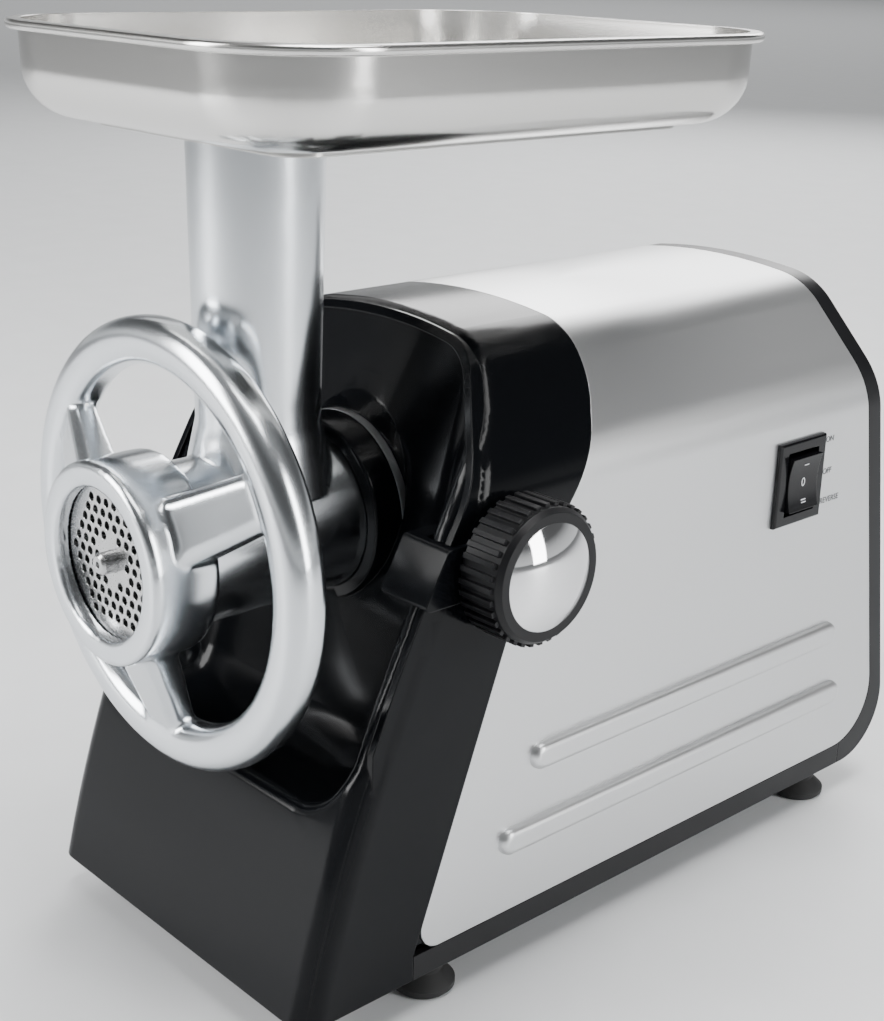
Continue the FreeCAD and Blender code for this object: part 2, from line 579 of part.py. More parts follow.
# screws that hold the rear cover: their heads sit on the leaning face
rear_lean = math.degrees(math.atan2(S.rear_low_y - S.rear_top_y, S.crown_peak - S.base_under))


def rear_screw(x, z):
    """A screw square to the leaning face, its head in a recess."""
    face = V(x, rear_y(z), z)
    inward = V(0, -math.cos(math.radians(rear_lean)), -math.sin(math.radians(rear_lean)))
    head = Part.makeCylinder(S.screw_head, S.screw_head_depth, face, inward)
    drive = Part.makeCylinder(S.screw_shank * 0.8, 1.2, face, inward)
    shank = Part.makeCylinder(S.screw_shank, 14, face, inward)
    room = Part.makeCylinder(S.screw_head + S.wall_gap, S.screw_head_depth + 1, face - inward, inward)
    way = Part.makeCylinder(S.screw_shank, 14, face, inward)
    pillar = Part.makeCylinder(S.screw_head + 2, 12, face + inward * 0.5, inward)
    return head.fuse(shank).cut(drive), room.fuse(way), pillar


rear_screws = []
for x, z in ((-70, 57), (70, 57), (-50, 216), (50, 216)):
    screw, way, pillar = rear_screw(x, z)
    rear_screws.append(screw)
    rear_shape = rear_shape.fuse(pillar).cut(way)
node("rear_screws", solid("rear_screws", Part.makeCompound(rear_screws)))
node("rear_cover", solid("rear_cover", rear_shape.removeSplitter()))
for index in range(7):
    base_shape = base_shape.cut(Part.makeBox(70, 2 * S.vent_half, FAR,
                                             V(-35, 235 + index * S.vent_pitch, 0)))
node("base_plate", solid("base_plate", base_shape))

inlet = lathe("cord_inlet", "y",
              [("inlet_bore", "-14"), ("inlet_radius - 2", "-14"), ("inlet_radius - 2", "2"),
               ("inlet_radius", "2"), ("inlet_radius", "5"), ("inlet_radius - 1.5", "6.5"),
               ("inlet_bore", "6.5")], "inlet_x",
              "rear_low_y + (rear_top_y - rear_low_y) * (inlet_z - base_under) / (crown_peak - base_under)",
              "inlet_z")
node("cord_inlet", inlet, "inlet_x",
     "rear_low_y + (rear_top_y - rear_low_y) * (inlet_z - base_under) / (crown_peak - base_under)",
     "inlet_z")

# ---------------------------------------------------------------- grinding head

barrel = lathe("barrel_turning", "y",
               [("plate_radius + run_gap", "head_front_y"), ("head_radius", "head_front_y"),
                ("head_radius", "head_back_y - 2"), ("head_radius - 2", "head_back_y"),
                ("barrel_radius", "head_back_y"), ("barrel_radius", "barrel_end_y - 1"),
                ("barrel_radius - 1", "barrel_end_y"),
                ("journal_radius + bush_wall", "barrel_end_y"),
                ("journal_radius + bush_wall", "worm_end_y + 1"), ("barrel_bore", "worm_end_y + 1"),
                ("barrel_bore", "plate_seat_y + plate_depth + knife_depth + 2"),
                ("knife_chamber", "plate_seat_y + plate_depth + knife_depth + 1"),
                ("knife_chamber", "plate_seat_y + plate_depth"),
                ("plate_radius + run_gap", "plate_seat_y + plate_depth")], "0", "0", "worm_height")
tube_skin = taper("tube_skin", "z", "0", "tube_y", "worm_height + barrel_bore * 0.6", "tube_low_radius",
                  "tube_top_radius", "tube_top - worm_height - barrel_bore * 0.6")
collar = taper("tube_collar", "z", "0", "tube_y", "worm_height + barrel_bore * 0.6", "tube_low_radius + 6",
               "tube_low_radius", "barrel_radius - barrel_bore * 0.6 + 14")
tube_way = rod("tube_way", "z", "0", "tube_y", "worm_height", "tube_bore", "tube_top - worm_height + 1")
spigot_seat = rod("spigot_seat", "z", "0", "tube_y", "tube_top - spigot_depth",
                  "tube_bore + spigot_wall + run_gap", "spigot_depth + 1")
bore_clear = rod("bore_clear", "y", "0", "plate_seat_y + plate_depth + 2", "worm_height", "barrel_bore",
                 "worm_end_y + 1 - plate_seat_y - plate_depth - 2")
barrel_cast = cut("barrel_cast", fuse("barrel_blank", barrel, tube_skin, collar), tube_way, spigot_seat,
                  bore_clear)
key_pin = rod("key_pin", "y", "plate_radius + 0.6", "head_front_y", "worm_height", "key_radius",
              "plate_depth - 1")
node("head_barrel", fuse("head_barrel", barrel_cast, key_pin))

bush = lathe("worm_bush", "y",
             [("journal_radius + run_gap", "worm_end_y + 1"), ("journal_radius + bush_wall", "worm_end_y + 1"),
              ("journal_radius + bush_wall", "barrel_end_y"), ("journal_radius + run_gap", "barrel_end_y")],
             "0", "0", "worm_height")
node("worm_bush", bush, "0", "0", "worm_height")

worm_start = S.plate_seat_y + S.plate_depth + S.knife_depth + 2 * S.face_gap + 0.5
core = Part.makeCone(S.worm_core - 1.5, S.worm_core + 2, S.worm_end_y - worm_start,
                     V(0, worm_start, S.worm_height), V(0, 1, 0))
run = S.worm_end_y - worm_start - S.flight_root - 1
helix = Part.makeHelix(S.worm_pitch, run, (S.worm_core + S.worm_edge) / 2)
root, tip = S.flight_root / 2, S.flight_tip / 2
section = Part.makePolygon([V(S.worm_core - 4, 0, -root), V(S.worm_edge, 0, -tip), V(S.worm_edge, 0, tip),
                            V(S.worm_core - 4, 0, root), V(S.worm_core - 4, 0, -root)])
flight = Part.Wire(helix.Edges).makePipeShell([section], True, True)
flight.Placement = FreeCAD.Placement(V(0, worm_start + S.flight_root / 2 + 0.5, S.worm_height), TURNS["y"])
journal = round_bar("y", 0, S.worm_end_y, S.worm_height, S.journal_radius, S.barrel_end_y - S.worm_end_y)
tail = Part.makeBox(2 * S.tail_half, S.tail_end_y - S.barrel_end_y, 2 * S.tail_half,
                    V(-S.tail_half, S.barrel_end_y, S.worm_height - S.tail_half))
pin_seat = round_bar("y", 0, worm_start - 1, S.worm_height, S.pin_radius, 16)
worm = core.fuse(flight).fuse(journal).fuse(tail).cut(pin_seat)
node("worm", solid("worm", worm))

pin = cut("worm_pin_turning",
          fuse("worm_pin_blank",
               rod("worm_pin_rod", "y", "0", "pin_tip_y + 1", "worm_height", "pin_radius",
                   "plate_seat_y + plate_depth + knife_depth + 2 * face_gap + 15.5 - pin_tip_y - 1"),
               taper("worm_pin_nose", "y", "0", "pin_tip_y", "worm_height", "pin_radius - 1", "pin_radius",
                     "1")),
          rod("worm_pin_centre", "y", "0", "pin_tip_y - 1", "worm_height", "1.2", "2.5"))
node("worm_pin", pin)

knife_y = S.plate_seat_y + S.plate_depth + S.face_gap
blades = []
for index in range(4):
    blade = Part.makePolygon([V(0, 0, -S.knife_width / 2), V(S.knife_radius * 0.55, 0, -S.knife_width / 2),
                              V(S.knife_radius, 0, -S.knife_width / 2 + 1.5), V(S.knife_radius, 0, 1.0),
                              V(S.knife_radius * 0.5, 0, S.knife_width / 2), V(0, 0, S.knife_width / 2),
                              V(0, 0, -S.knife_width / 2)])
    blade = Part.Face(blade).extrude(V(0, S.knife_depth, 0))
    blade.rotate(V(0, 0, 0), V(0, 1, 0), 90.0 * index + 20)
    blades.append(blade)
knife_hub = Part.makeCylinder(S.worm_core - 1.5, S.knife_depth, V(0, 0, 0), V(0, 1, 0))
knife = knife_hub.multiFuse(blades)
knife = knife.cut(Part.makeCylinder(S.pin_radius, 50, V(0, -10, 0), V(0, 1, 0)))
knife.Placement = FreeCAD.Placement(V(0, knife_y, S.worm_height), FreeCAD.Rotation())
node("knife", solid("knife", knife.removeSplitter()))

plate = Part.makeCylinder(S.plate_radius, S.plate_depth, V(0, S.plate_seat_y, S.worm_height), V(0, 1, 0))
holes = [round_bar("y", 0, S.plate_seat_y - 1, S.worm_height, S.pin_radius + S.run_gap, S.plate_depth + 2)]
steps = int(S.plate_field / S.plate_pitch) + 2
for a in range(-steps, steps + 1):
    for b in range(-steps, steps + 1):
        x = S.plate_pitch * (a + b / 2)
        z = S.plate_pitch * b * math.sqrt(3) / 2
        if S.plate_blank < math.hypot(x, z) < S.plate_field - S.plate_hole:
            holes.append(round_bar("y", x, S.plate_seat_y - 1, S.worm_height + z, S.plate_hole,
                                   S.plate_depth + 2))
holes.append(round_bar("y", S.plate_radius + 0.6, S.plate_seat_y - 1, S.worm_height,
                       S.key_radius + S.run_gap, S.plate_depth + 2))
node("cutting_plate", solid("cutting_plate", plate.cut(Part.makeCompound(holes))))

# ring wheel: a cast ring nut with a hand rim on three broad spokes
hub = lathe("ring_hub", "y",
            [("opening_radius", "0.8"), ("opening_radius + 0.8", "0"), ("hub_radius - 1.2", "0"),
             ("hub_radius", "1.2"), ("hub_radius", "hub_depth - 1"), ("hub_radius - 1", "hub_depth"),
             ("head_radius + ring_gap", "hub_depth"), ("head_radius + ring_gap", "plate_seat_y - face_gap"),
             ("opening_radius", "plate_seat_y - face_gap")], "0", "0", "worm_height")
rim = doc.addObject("Part::Feature", "ring_rim")
rim_points = [(S.rim_radius - S.rim_width, S.rim_front_y), (S.rim_radius, S.rim_front_y),
              (S.rim_radius, S.rim_front_y + S.rim_depth),
              (S.rim_radius - S.rim_width, S.rim_front_y + S.rim_depth)]
rim_wire = rounded_wire(rim_points, [S.rim_round] * 4, lambda p: V(p.x, p.y, S.worm_height))
rim_shape = Part.Face(rim_wire).revolve(V(0, 0, S.worm_height), V(0, 1, 0), 360)
spokes = []
for index in range(3):
    inner = S.hub_radius - 4
    outer = S.rim_radius - S.rim_width / 2
    rings = []
    for radius, width, front_at, deep in ((inner, S.spoke_hub_width, S.spoke_front_y, S.spoke_depth),
                                          (outer, S.spoke_rim_width, S.rim_front_y + 3.5, S.rim_depth - 7)):
        half = width / 2
        bevel = 3.0
        rings.append(Part.makePolygon([V(radius, front_at + bevel, -half), V(radius, front_at, bevel - half),
                                       V(radius, front_at, half - bevel), V(radius, front_at + bevel, half),
                                       V(radius, front_at + deep, half), V(radius, front_at + deep, -half),
                                       V(radius, front_at + bevel, -half)]))
    spoke = Part.makeLoft(rings, True, True)
    spoke.rotate(V(0, 0, 0), V(0, 1, 0), -(30.0 + 120.0 * index))
    spoke.translate(V(0, 0, S.worm_height))
    spokes.append(spoke)
doc.recompute()
ring_shape = hub.Shape.multiFuse([rim_shape] + spokes)
ring_shape = ring_shape.cut(round_bar("y", 0, S.plate_seat_y - S.face_gap, S.worm_height,
                                      S.head_radius + S.ring_gap, FAR))
rim.Shape = ring_shape
node("ring_wheel", rim)

# ---------------------------------------------------------------- hopper tray

def tray_loop(inset, z):
    """The tray's rounded outline at height z."""
    half = S.tray_half_width - inset
    y1, y2 = S.tray_front_y + inset, S.tray_back_y - inset
    return rounded_wire([(-half, y1), (-half, y2), (half, y2), (half, y1)],
                        [max(S.tray_round - inset, 4.0)] * 4, lambda p: V(p.x, p.y, z))


def pan(inset, floor_z, step):
    """A pan's filled shape: tapered sides, a large bottom radius and a shallow step below its floor."""
    body = Part.makeLoft([tray_loop(S.tray_taper + inset, floor_z), tray_loop(inset, S.tray_rim_z)], True)
    low = [edge for edge in body.Edges if edge.BoundBox.ZMax < floor_z + 0.01]
    body = body.makeFillet(S.tray_edge_round - inset, low)
    panel = Part.Face(tray_loop(S.tray_taper + S.tray_step_in + inset, floor_z - step))
    return body.fuse(panel.extrude(V(0, 0, step + 1)))


tray_floor = S.tube_top + S.seam_gap + S.tray_step
pan_outer = pan(0, tray_floor, S.tray_step)
pan_inner = pan(S.tray_gauge, tray_floor + S.tray_gauge, S.tray_step)
lip = Part.Face(tray_loop(-S.tray_flange, S.tray_rim_z - S.tray_bead)).extrude(V(0, 0, 2 * S.tray_bead))
lip_edges = [edge for edge in lip.Edges if edge.BoundBox.ZLength < 0.01]
lip = lip.makeFillet(S.tray_bead * 0.9, lip_edges)
lip = lip.cut(Part.Face(tray_loop(S.tray_gauge, S.tray_rim_z - FAR / 10)).extrude(V(0, 0, FAR / 5)))
feed_hole = round_bar("z", 0, S.tube_y, 0, S.spigot_bore, FAR)
tray_shape = pan_outer.cut(pan_inner).fuse(lip).cut(feed_hole)
node("hopper_tray", solid("hopper_tray", tray_shape))
spigot = round_bar("z", 0, S.tube_y, S.tube_top - S.spigot_depth + 0.5, S.tube_bore + S.spigot_wall,
                   S.spigot_depth - 0.5 + S.seam_gap).cut(feed_hole)
node("tray_spigot", solid("tray_spigot", spigot))

# ---------------------------------------------------------------- lock knob and its screw

knob_blank = lathe("knob_blank", "x",
                   [("screw_radius", "knob_back_x"), ("knob_radius - 3", "knob_back_x"),
                    ("knob_radius - knob_rib", "knob_back_x + 1.5"),
                    ("knob_radius - knob_rib", "knob_face_x - 2"), ("knob_radius - 3", "knob_face_x"),
                    ("knob_cap_radius + run_gap", "knob_face_x"),
                    ("knob_cap_radius + run_gap", "knob_face_x - 3"),
                    ("screw_radius", "knob_face_x - 3")], "0", "lock_y", "worm_height")
knob_ribs = []
rib_half = 0.22 * 2 * math.pi * S.knob_radius / S.knob_ribs
for index in range(int(S.knob_ribs)):
    rib = Part.makeBox(S.knob_face_x - S.knob_back_x - 5, 2 * rib_half, S.knob_rib + 2,
                       V(S.knob_back_x + 2, -rib_half, S.knob_radius - S.knob_rib - 2))
    rib.rotate(V(0, 0, 0), V(1, 0, 0), 360.0 * index / S.knob_ribs)
    rib.translate(V(0, S.lock_y, S.worm_height))
    knob_ribs.append(rib)
doc.recompute()
node("lock_knob", solid("lock_knob", knob_blank.Shape.multiFuse(knob_ribs)))
cap_ball = (S.knob_cap_radius ** 2 + S.cap_rise ** 2) / (2 * S.cap_rise)
dome = Part.makeSphere(cap_ball, V(S.knob_face_x + S.cap_rise - cap_ball, S.lock_y, S.worm_height))
dome = dome.common(round_bar("x", S.knob_face_x - 3, S.lock_y, S.worm_height, S.knob_cap_radius, 20))
dome = dome.cut(round_bar("x", 0, S.lock_y, S.worm_height, S.screw_radius + 1, S.knob_face_x - 1))
node("knob_cap", solid("knob_cap", dome))
pad_x = "barrel_radius + lock_gap"
screw_start = "barrel_radius + lock_gap + pad_depth"
node("lock_screw", cut("lock_screw_turning",
                       rod("lock_screw_rod", "x", screw_start + " + 0.3", "lock_y", "worm_height",
                           "screw_radius", "knob_face_x - 2 - barrel_radius - lock_gap - pad_depth - 0.3"),
                       rod("lock_screw_bore", "x", screw_start + " - 1", "lock_y", "worm_height",
                           "screw_radius - 2 + run_gap", "7.3")))
node("lock_pad", fuse("lock_pad_turning",
                      rod("lock_pad_face", "x", pad_x, "lock_y", "worm_height", "pad_radius", "pad_depth"),
                      rod("lock_pad_stem", "x", pad_x + " + pad_depth - 1", "lock_y", "worm_height",
                          "screw_radius - 2", "7")))

# ---------------------------------------------------------------- head socket

socket_pipe = cut("socket_pipe",
                  rod("socket_blank", "y", "0", "socket_front_y", "worm_height", "socket_radius",
                      "case_front_y - socket_front_y"),
                  rod("socket_bore", "y", "0", "socket_front_y - 1", "worm_height",
                      "barrel_radius + run_gap", "case_front_y"),
                  rod("socket_lock_way", "x", "0", "lock_y", "worm_height", "pad_radius + wall_gap",
                      "body_half_width"))
node("head_socket", socket_pipe)

# ---------------------------------------------------------------- gear train

stages = []
for stage in (1, 2, 3):
    module, small, large = (getattr(S, "%s_%d" % (kind, stage)) for kind in ("module", "pinion", "wheel"))
    stages.append((module, int(small), int(large), getattr(S, "face_%d" % stage)))
reach = [module * (small + large) / 2 for module, small, large, face in stages]
motor_at = (0.0, S.motor_z)
output_at = (0.0, S.worm_height)
turn = math.radians(S.layshaft_angle)
second_at = (reach[2] * math.cos(turn), S.worm_height + reach[2] * math.sin(turn))


def third_corner(a, b, from_a, from_b):
    """The point left of a to b that is from_a and from_b away from them."""
    across, up = b[0] - a[0], b[1] - a[1]
    apart = math.hypot(across, up)
    along = (from_a ** 2 - from_b ** 2 + apart ** 2) / (2 * apart)
    off = math.sqrt(max(from_a ** 2 - along ** 2, 0.0))
    return (a[0] + along * across / apart - off * up / apart,
            a[1] + along * up / apart + off * across / apart)


first_at = third_corner(motor_at, second_at, reach[0], reach[1])
case_back = S.case_front_y + S.case_plate
third_y = case_back + S.stage_gap
second_y = third_y + S.face_3 + S.stage_gap
first_y = second_y + S.face_2 + S.stage_gap
lid_y = first_y + S.face_1 + 2 * S.stage_gap


def direction(a, b):
    return math.atan2(b[1] - a[1], b[0] - a[0])


def toothed(module, teeth, phase, centre, y, depth, bore):
    """A spur gear: teeth with play between them, its first tooth's middle at the angle phase."""
    pitch_radius = module * teeth / 2
    tip, root = pitch_radius + 0.85 * module, pitch_radius - 1.15 * module
    step = 2 * math.pi / teeth
    corners_ = []
    for tooth in range(teeth):
        middle = phase + tooth * step
        for radius, share in ((root, -0.33), (pitch_radius, -0.225), (tip, -0.12),
                              (tip, 0.12), (pitch_radius, 0.225), (root, 0.33)):
            angle = middle + share * step
            corners_.append(V(centre[0] + radius * math.cos(angle), y, centre[1] + radius * math.sin(angle)))
    gear = Part.Face(Part.makePolygon(corners_ + corners_[:1])).extrude(V(0, depth, 0))
    return gear.cut(round_bar("y", centre[0], y - 1, centre[1], bore, depth + 2)) if bore else gear


def mating_phase(phase, teeth, centre, other_teeth, other_centre):
    """The phase that puts the other gear's gap on this gear's tooth."""
    towards = direction(centre, other_centre)
    return towards + math.pi + (math.pi - teeth * (phase - towards)) / other_teeth


phase = [(0.0, mating_phase(0.0, stages[0][1], motor_at, stages[0][2], first_at)),
         (0.0, mating_phase(0.0, stages[1][1], first_at, stages[1][2], second_at)),
         (0.0, mating_phase(0.0, stages[2][1], second_at, stages[2][2], output_at))]
node("motor_pinion", solid("motor_pinion", toothed(stages[0][0], stages[0][1], phase[0][0], motor_at,
                                                   first_y - 1, S.face_1 + 2, S.motor_shaft)))
node("first_gear", solid("first_gear", toothed(stages[0][0], stages[0][2], phase[0][1], first_at,
                                               first_y, S.face_1, S.layshaft_radius)))
node("first_pinion", solid("first_pinion", toothed(stages[1][0], stages[1][1], phase[1][0], first_at,
                                                   second_y - 1, S.face_2 + 1 + S.stage_gap,
                                                   S.layshaft_radius)))
node("second_gear", solid("second_gear", toothed(stages[1][0], stages[1][2], phase[1][1], second_at,
                                                 second_y, S.face_2, S.layshaft_radius)))
node("second_pinion", solid("second_pinion", toothed(stages[2][0], stages[2][1], phase[2][0], second_at,
                                                     third_y - 1, S.face_3 + 1 + S.stage_gap,
                                                     S.layshaft_radius)))
node("output_gear", solid("output_gear", toothed(stages[2][0], stages[2][2], phase[2][1], output_at,
                                                 third_y, S.face_3, S.output_radius)))
for name, centre in (("first_shaft", first_at), ("second_shaft", second_at)):
    node(name, solid(name, round_bar("y", centre[0], S.case_front_y + 2, centre[1], S.layshaft_radius,
                                     lid_y + 2 - S.case_front_y - 2)))
tail_hole = Part.makeBox(2 * (S.tail_half + S.tail_gap), 60, 2 * (S.tail_half + S.tail_gap),
                         V(-S.tail_half - S.tail_gap, S.barrel_end_y, S.worm_height - S.tail_half - S.tail_gap))
tail_hole = tail_hole.common(round_bar("y", 0, 0, S.worm_height, FAR / 10, S.tail_end_y + 1))
output = round_bar("y", 0, S.case_front_y + 0.5, S.worm_height, S.output_radius, third_y + S.face_3
                   - S.case_front_y - 0.5)
output = output.fuse(round_bar("y", 0, third_y + S.face_3, S.worm_height, S.layshaft_radius * 1.5,
                               lid_y + 2 - third_y - S.face_3)).cut(tail_hole)
node("output_shaft", solid("output_shaft", output))
bearing = round_bar("y", 0, S.case_front_y + 1, S.worm_height, S.output_radius + S.bearing_wall,
                    S.case_plate - 1).cut(round_bar("y", 0, 0, S.worm_height,
                                                    S.output_radius + S.run_gap, FAR))
node("output_bearing", solid("output_bearing", bearing))

# gear case: round rooms for the gears, open to the back, closed by a lid
rooms = [(output_at, stages[2][0] * (stages[2][2] / 2 + 1)),
         (second_at, stages[1][0] * (stages[1][2] / 2 + 1)),
         (first_at, stages[0][0] * (stages[0][2] / 2 + 1)),
         (motor_at, stages[0][0] * (stages[0][1] / 2 + 1))]


def lobes(grow, y1, y2):
    """The four rooms' discs as one shape, from y1 to y2."""
    bars = [round_bar("y", centre[0], y1, centre[1], radius + grow, y2 - y1) for centre, radius in rooms]
    return bars[0].multiFuse(bars[1:])


case = lobes(S.gear_room + S.case_wall, S.case_front_y, lid_y).cut(lobes(S.gear_room, case_back, lid_y + 1))
case = case.cut(round_bar("y", 0, 0, S.worm_height, S.output_radius + S.bearing_wall, S.case_front_y + 5 + 1))
case = case.cut(round_bar("y", 0, 0, S.worm_height, S.output_radius + 1, FAR))
case = case.cut(round_bar("y", 0, 0, S.worm_height, S.output_radius + S.bearing_wall, case_back + 1))
for centre in (first_at, second_at):
    case = case.cut(round_bar("y", centre[0], S.case_front_y + 1.5, centre[1],
                              S.layshaft_radius + S.run_gap, FAR))
stand = Part.makeBox(60, lid_y - S.case_front_y, S.motor_z - 20 - S.base_under - S.shell_wall,
                     V(-56, S.case_front_y, S.base_under + S.shell_wall))
stand = stand.cut(Part.makeBox(48, FAR, FAR / 2, V(-50, 0, S.base_under + S.shell_wall + 6 - FAR / 2)))
stand = stand.cut(lobes(S.gear_room + S.case_wall - 1, S.case_front_y - 1, lid_y + 1))
node("gear_case", solid("gear_case", case.fuse(stand)))
lid = lobes(S.gear_room + S.case_wall, lid_y, lid_y + S.lid_depth)
for centre in (first_at, second_at):
    lid = lid.cut(round_bar("y", centre[0], lid_y - 1, centre[1], S.layshaft_radius + S.run_gap, 3.5))
lid = lid.cut(round_bar("y", 0, lid_y - 1, S.worm_height, S.layshaft_radius * 1.5 + S.run_gap, 3.5))
lid = lid.cut(round_bar("y", 0, 0, S.motor_z, S.motor_shaft + 1, FAR))
lid_screws = []
screw_ring = stages[2][0] * (stages[2][2] / 2 + 1) + S.gear_room + S.case_wall / 2
for angle in (20, 75, 130):
    x = screw_ring * math.cos(math.radians(angle))
    z = S.worm_height + screw_ring * math.sin(math.radians(angle))
    hole = round_bar("y", x, lid_y, z, 1.0, S.lid_depth)
    lid = lid.cut(hole)
    head = round_bar("y", x, lid_y + S.lid_depth, z, S.screw_head * 0.7, 1.6)
    lid_screws.append(head.fuse(hole).cut(round_bar("y", x, lid_y + S.lid_depth + 0.8, z, 1.0, 2)))
node("gear_lid", solid("gear_lid", lid))
node("lid_screws", solid("lid_screws", Part.makeCompound(lid_screws)))

# ---------------------------------------------------------------- motor

shaft_end = S.bracket_rear_y + S.bracket_depth - 1
node("motor_shaft", solid("motor_shaft", round_bar("y", 0, first_y - 1, S.motor_z, S.motor_shaft,
                                                   shaft_end - first_y + 1)))
fan = round_bar("y", 0, S.fan_y, S.motor_z, 9, S.fan_depth).fuse(
    round_bar("y", 0, S.fan_y + S.fan_depth - 1.5, S.motor_z, S.fan_radius, 1.5))
for index in range(12):
    vane = Part.makeBox(S.fan_radius - 12, S.fan_depth, 1.5, V(11, S.fan_y, -0.75))
    vane.rotate(V(0, 0, 0), V(0, 1, 0), 30.0 * index)
    vane.translate(V(0, 0, S.motor_z))
    fan = fan.fuse(vane)
fan = fan.cut(round_bar("y", 0, 0, S.motor_z, S.motor_shaft, FAR))
node("cooling_fan", solid("cooling_fan", fan))
stator_back = S.stator_front_y + S.stator_depth
stator = round_bar("y", 0, S.stator_front_y, S.motor_z, S.stator_radius, S.stator_depth)
stator = stator.common(Part.makeBox(2 * S.stator_radius, FAR, 2 * S.stator_radius - 10,
                                    V(-S.stator_radius, 0, S.motor_z - S.stator_radius + 5)))
stator = stator.cut(round_bar("y", 0, 0, S.motor_z, S.stator_bore, FAR))
node("motor_stator", solid("motor_stator", stator))
coils = []
for y in (S.stator_front_y - S.coil_depth, stator_back):
    ring = round_bar("y", 0, y, S.motor_z, S.coil_radius, S.coil_depth)
    ring = ring.cut(round_bar("y", 0, 0, S.motor_z, S.stator_bore + 1, FAR))
    for side in (-1, 1):
        low_x = -S.coil_radius if side < 0 else 8
        coils.append(ring.common(Part.makeBox(S.coil_radius - 8, FAR, FAR, V(low_x, 0, 0))))
node("field_coils", solid("field_coils", Part.makeCompound(coils)))
rotor = round_bar("y", 0, S.stator_front_y + 1, S.motor_z, S.rotor_radius, S.stator_depth - 2)
for index in range(12):
    slot_cut = Part.makeBox(7, FAR, 2, V(S.rotor_radius - 6, 0, -1))
    slot_cut.rotate(V(0, 0, 0), V(0, 1, 0), 30.0 * index)
    slot_cut.translate(V(0, 0, S.motor_z))
    rotor = rotor.cut(slot_cut)
rotor = rotor.cut(round_bar("y", 0, 0, S.motor_z, S.motor_shaft, FAR))
node("motor_rotor", solid("motor_rotor", rotor))
commutator_y = stator_back + S.coil_depth + 6
node("commutator", cut("commutator_turning",
                       rod("commutator_blank", "y", "0", commutator_y, "motor_z", "commutator_radius",
                           "commutator_depth"),
                       rod("commutator_bore", "y", "0", commutator_y - 1, "motor_z", "motor_shaft",
                           "commutator_depth + 2")))
brushes = []
for side in (-1, 1):
    low_x = S.commutator_radius + 0.3 if side > 0 else -S.commutator_radius - 0.3 - S.brush_length
    brushes.append(Part.makeBox(S.brush_length, 2 * S.brush_half, 2 * S.brush_half,
                                V(low_x, commutator_y + S.commutator_depth / 2 - S.brush_half,
                                  S.motor_z - S.brush_half)))
node("carbon_brushes", solid("carbon_brushes", Part.makeCompound(brushes)))


def bracket(y, reach_y):
    """A motor end bracket: a cross bar with a bearing seat, and two legs that grip the stator."""
    bar = Part.makeBox(2 * (S.stator_radius + 6), S.bracket_depth, 24,
                       V(-S.stator_radius - 6, y, S.motor_z - 12))
    shape = bar.fuse(round_bar("y", 0, y, S.motor_z, S.motor_bearing + 5, S.bracket_depth))
    for side in (-1, 1):
        low_x = S.stator_radius + 0.2 if side > 0 else -S.stator_radius - 6
        low, high = min(y, reach_y), max(y + S.bracket_depth, reach_y)
        shape = shape.fuse(Part.makeBox(5.8, high - low, 24, V(low_x, low, S.motor_z - 12)))
        shape = shape.fuse(Part.makeBox(5.8, S.bracket_depth + 8, S.motor_z - S.base_under - S.shell_wall,
                                        V(low_x, y, S.base_under + S.shell_wall)))
    return shape.cut(round_bar("y", 0, 0, S.motor_z, S.motor_bearing, FAR))


brush_gap = Part.makeBox(4 * S.stator_radius, 2 * S.brush_half + 0.6, 2 * S.brush_half + 0.6,
                         V(-2 * S.stator_radius, commutator_y + S.commutator_depth / 2 - S.brush_half - 0.3,
                           S.motor_z - S.brush_half - 0.3))
node("front_bracket", solid("front_bracket", bracket(S.bracket_front_y - S.bracket_depth + 4,
                                                     S.stator_front_y + 8).cut(
    round_bar("y", 0, S.stator_front_y - S.coil_depth - 0.3, S.motor_z, S.coil_radius + 1, S.coil_depth + 1))))
node("rear_bracket", solid("rear_bracket", bracket(S.bracket_rear_y, stator_back - 8).cut(brush_gap)))
bearings = []
for y in (S.bracket_front_y - S.bracket_depth + 4, S.bracket_rear_y):
    race = round_bar("y", 0, y, S.motor_z, S.motor_bearing, S.bracket_depth - 1.5)
    bearings.append(race.cut(round_bar("y", 0, 0, S.motor_z, S.motor_shaft + S.run_gap, FAR)))
node("motor_bearings", solid("motor_bearings", Part.makeCompound(bearings)))

# ---------------------------------------------------------------- switch

deep_x = S.body_half_width - S.switch_deep
frame_height = S.switch_z2 - S.switch_z1
frame_width = S.switch_y2 - S.switch_y1
middle_y = (S.switch_y1 + S.switch_y2) / 2
middle_z = (S.switch_z1 + S.switch_z2) / 2
well_y1, well_y2 = S.switch_y1 + S.switch_border, S.switch_y2 - S.switch_border
well_z1, well_z2 = S.switch_z1 + S.switch_border - 1, S.switch_z2 - S.switch_border + 1
flange = Part.makeBox(S.switch_proud, frame_width, frame_height,
                      V(S.body_half_width, S.switch_y1, S.switch_z1))
edges = [edge for edge in flange.Edges if edge.BoundBox.XMin > S.body_half_width + S.switch_proud - 0.01]
flange = flange.makeFillet(1.2, edges)
case_box = Part.makeBox(14, frame_width - 4.6, frame_height - 4.6,
                        V(S.body_half_width - 14, S.switch_y1 + 2.3, S.switch_z1 + 2.3))
well = Part.makeBox(FAR, well_y2 - well_y1, well_z2 - well_z1, V(S.body_half_width - 12, well_y1, well_z1))
node("switch_frame", solid("switch_frame", flange.fuse(case_box).cut(well)))
switch_body = Part.makeBox(S.switch_deep - 14, frame_width - 4.6, frame_height - 4.6,
                           V(deep_x, S.switch_y1 + 2.3, S.switch_z1 + 2.3))
for index in range(3):
    switch_body = switch_body.fuse(Part.makeBox(8, 0.8, 6.3, V(deep_x - 8, middle_y - 8 + 8 * index,
                                                               middle_z - 3.15)))
node("switch_body", solid("switch_body", switch_body))
pivot_x = S.body_half_width - 2.0
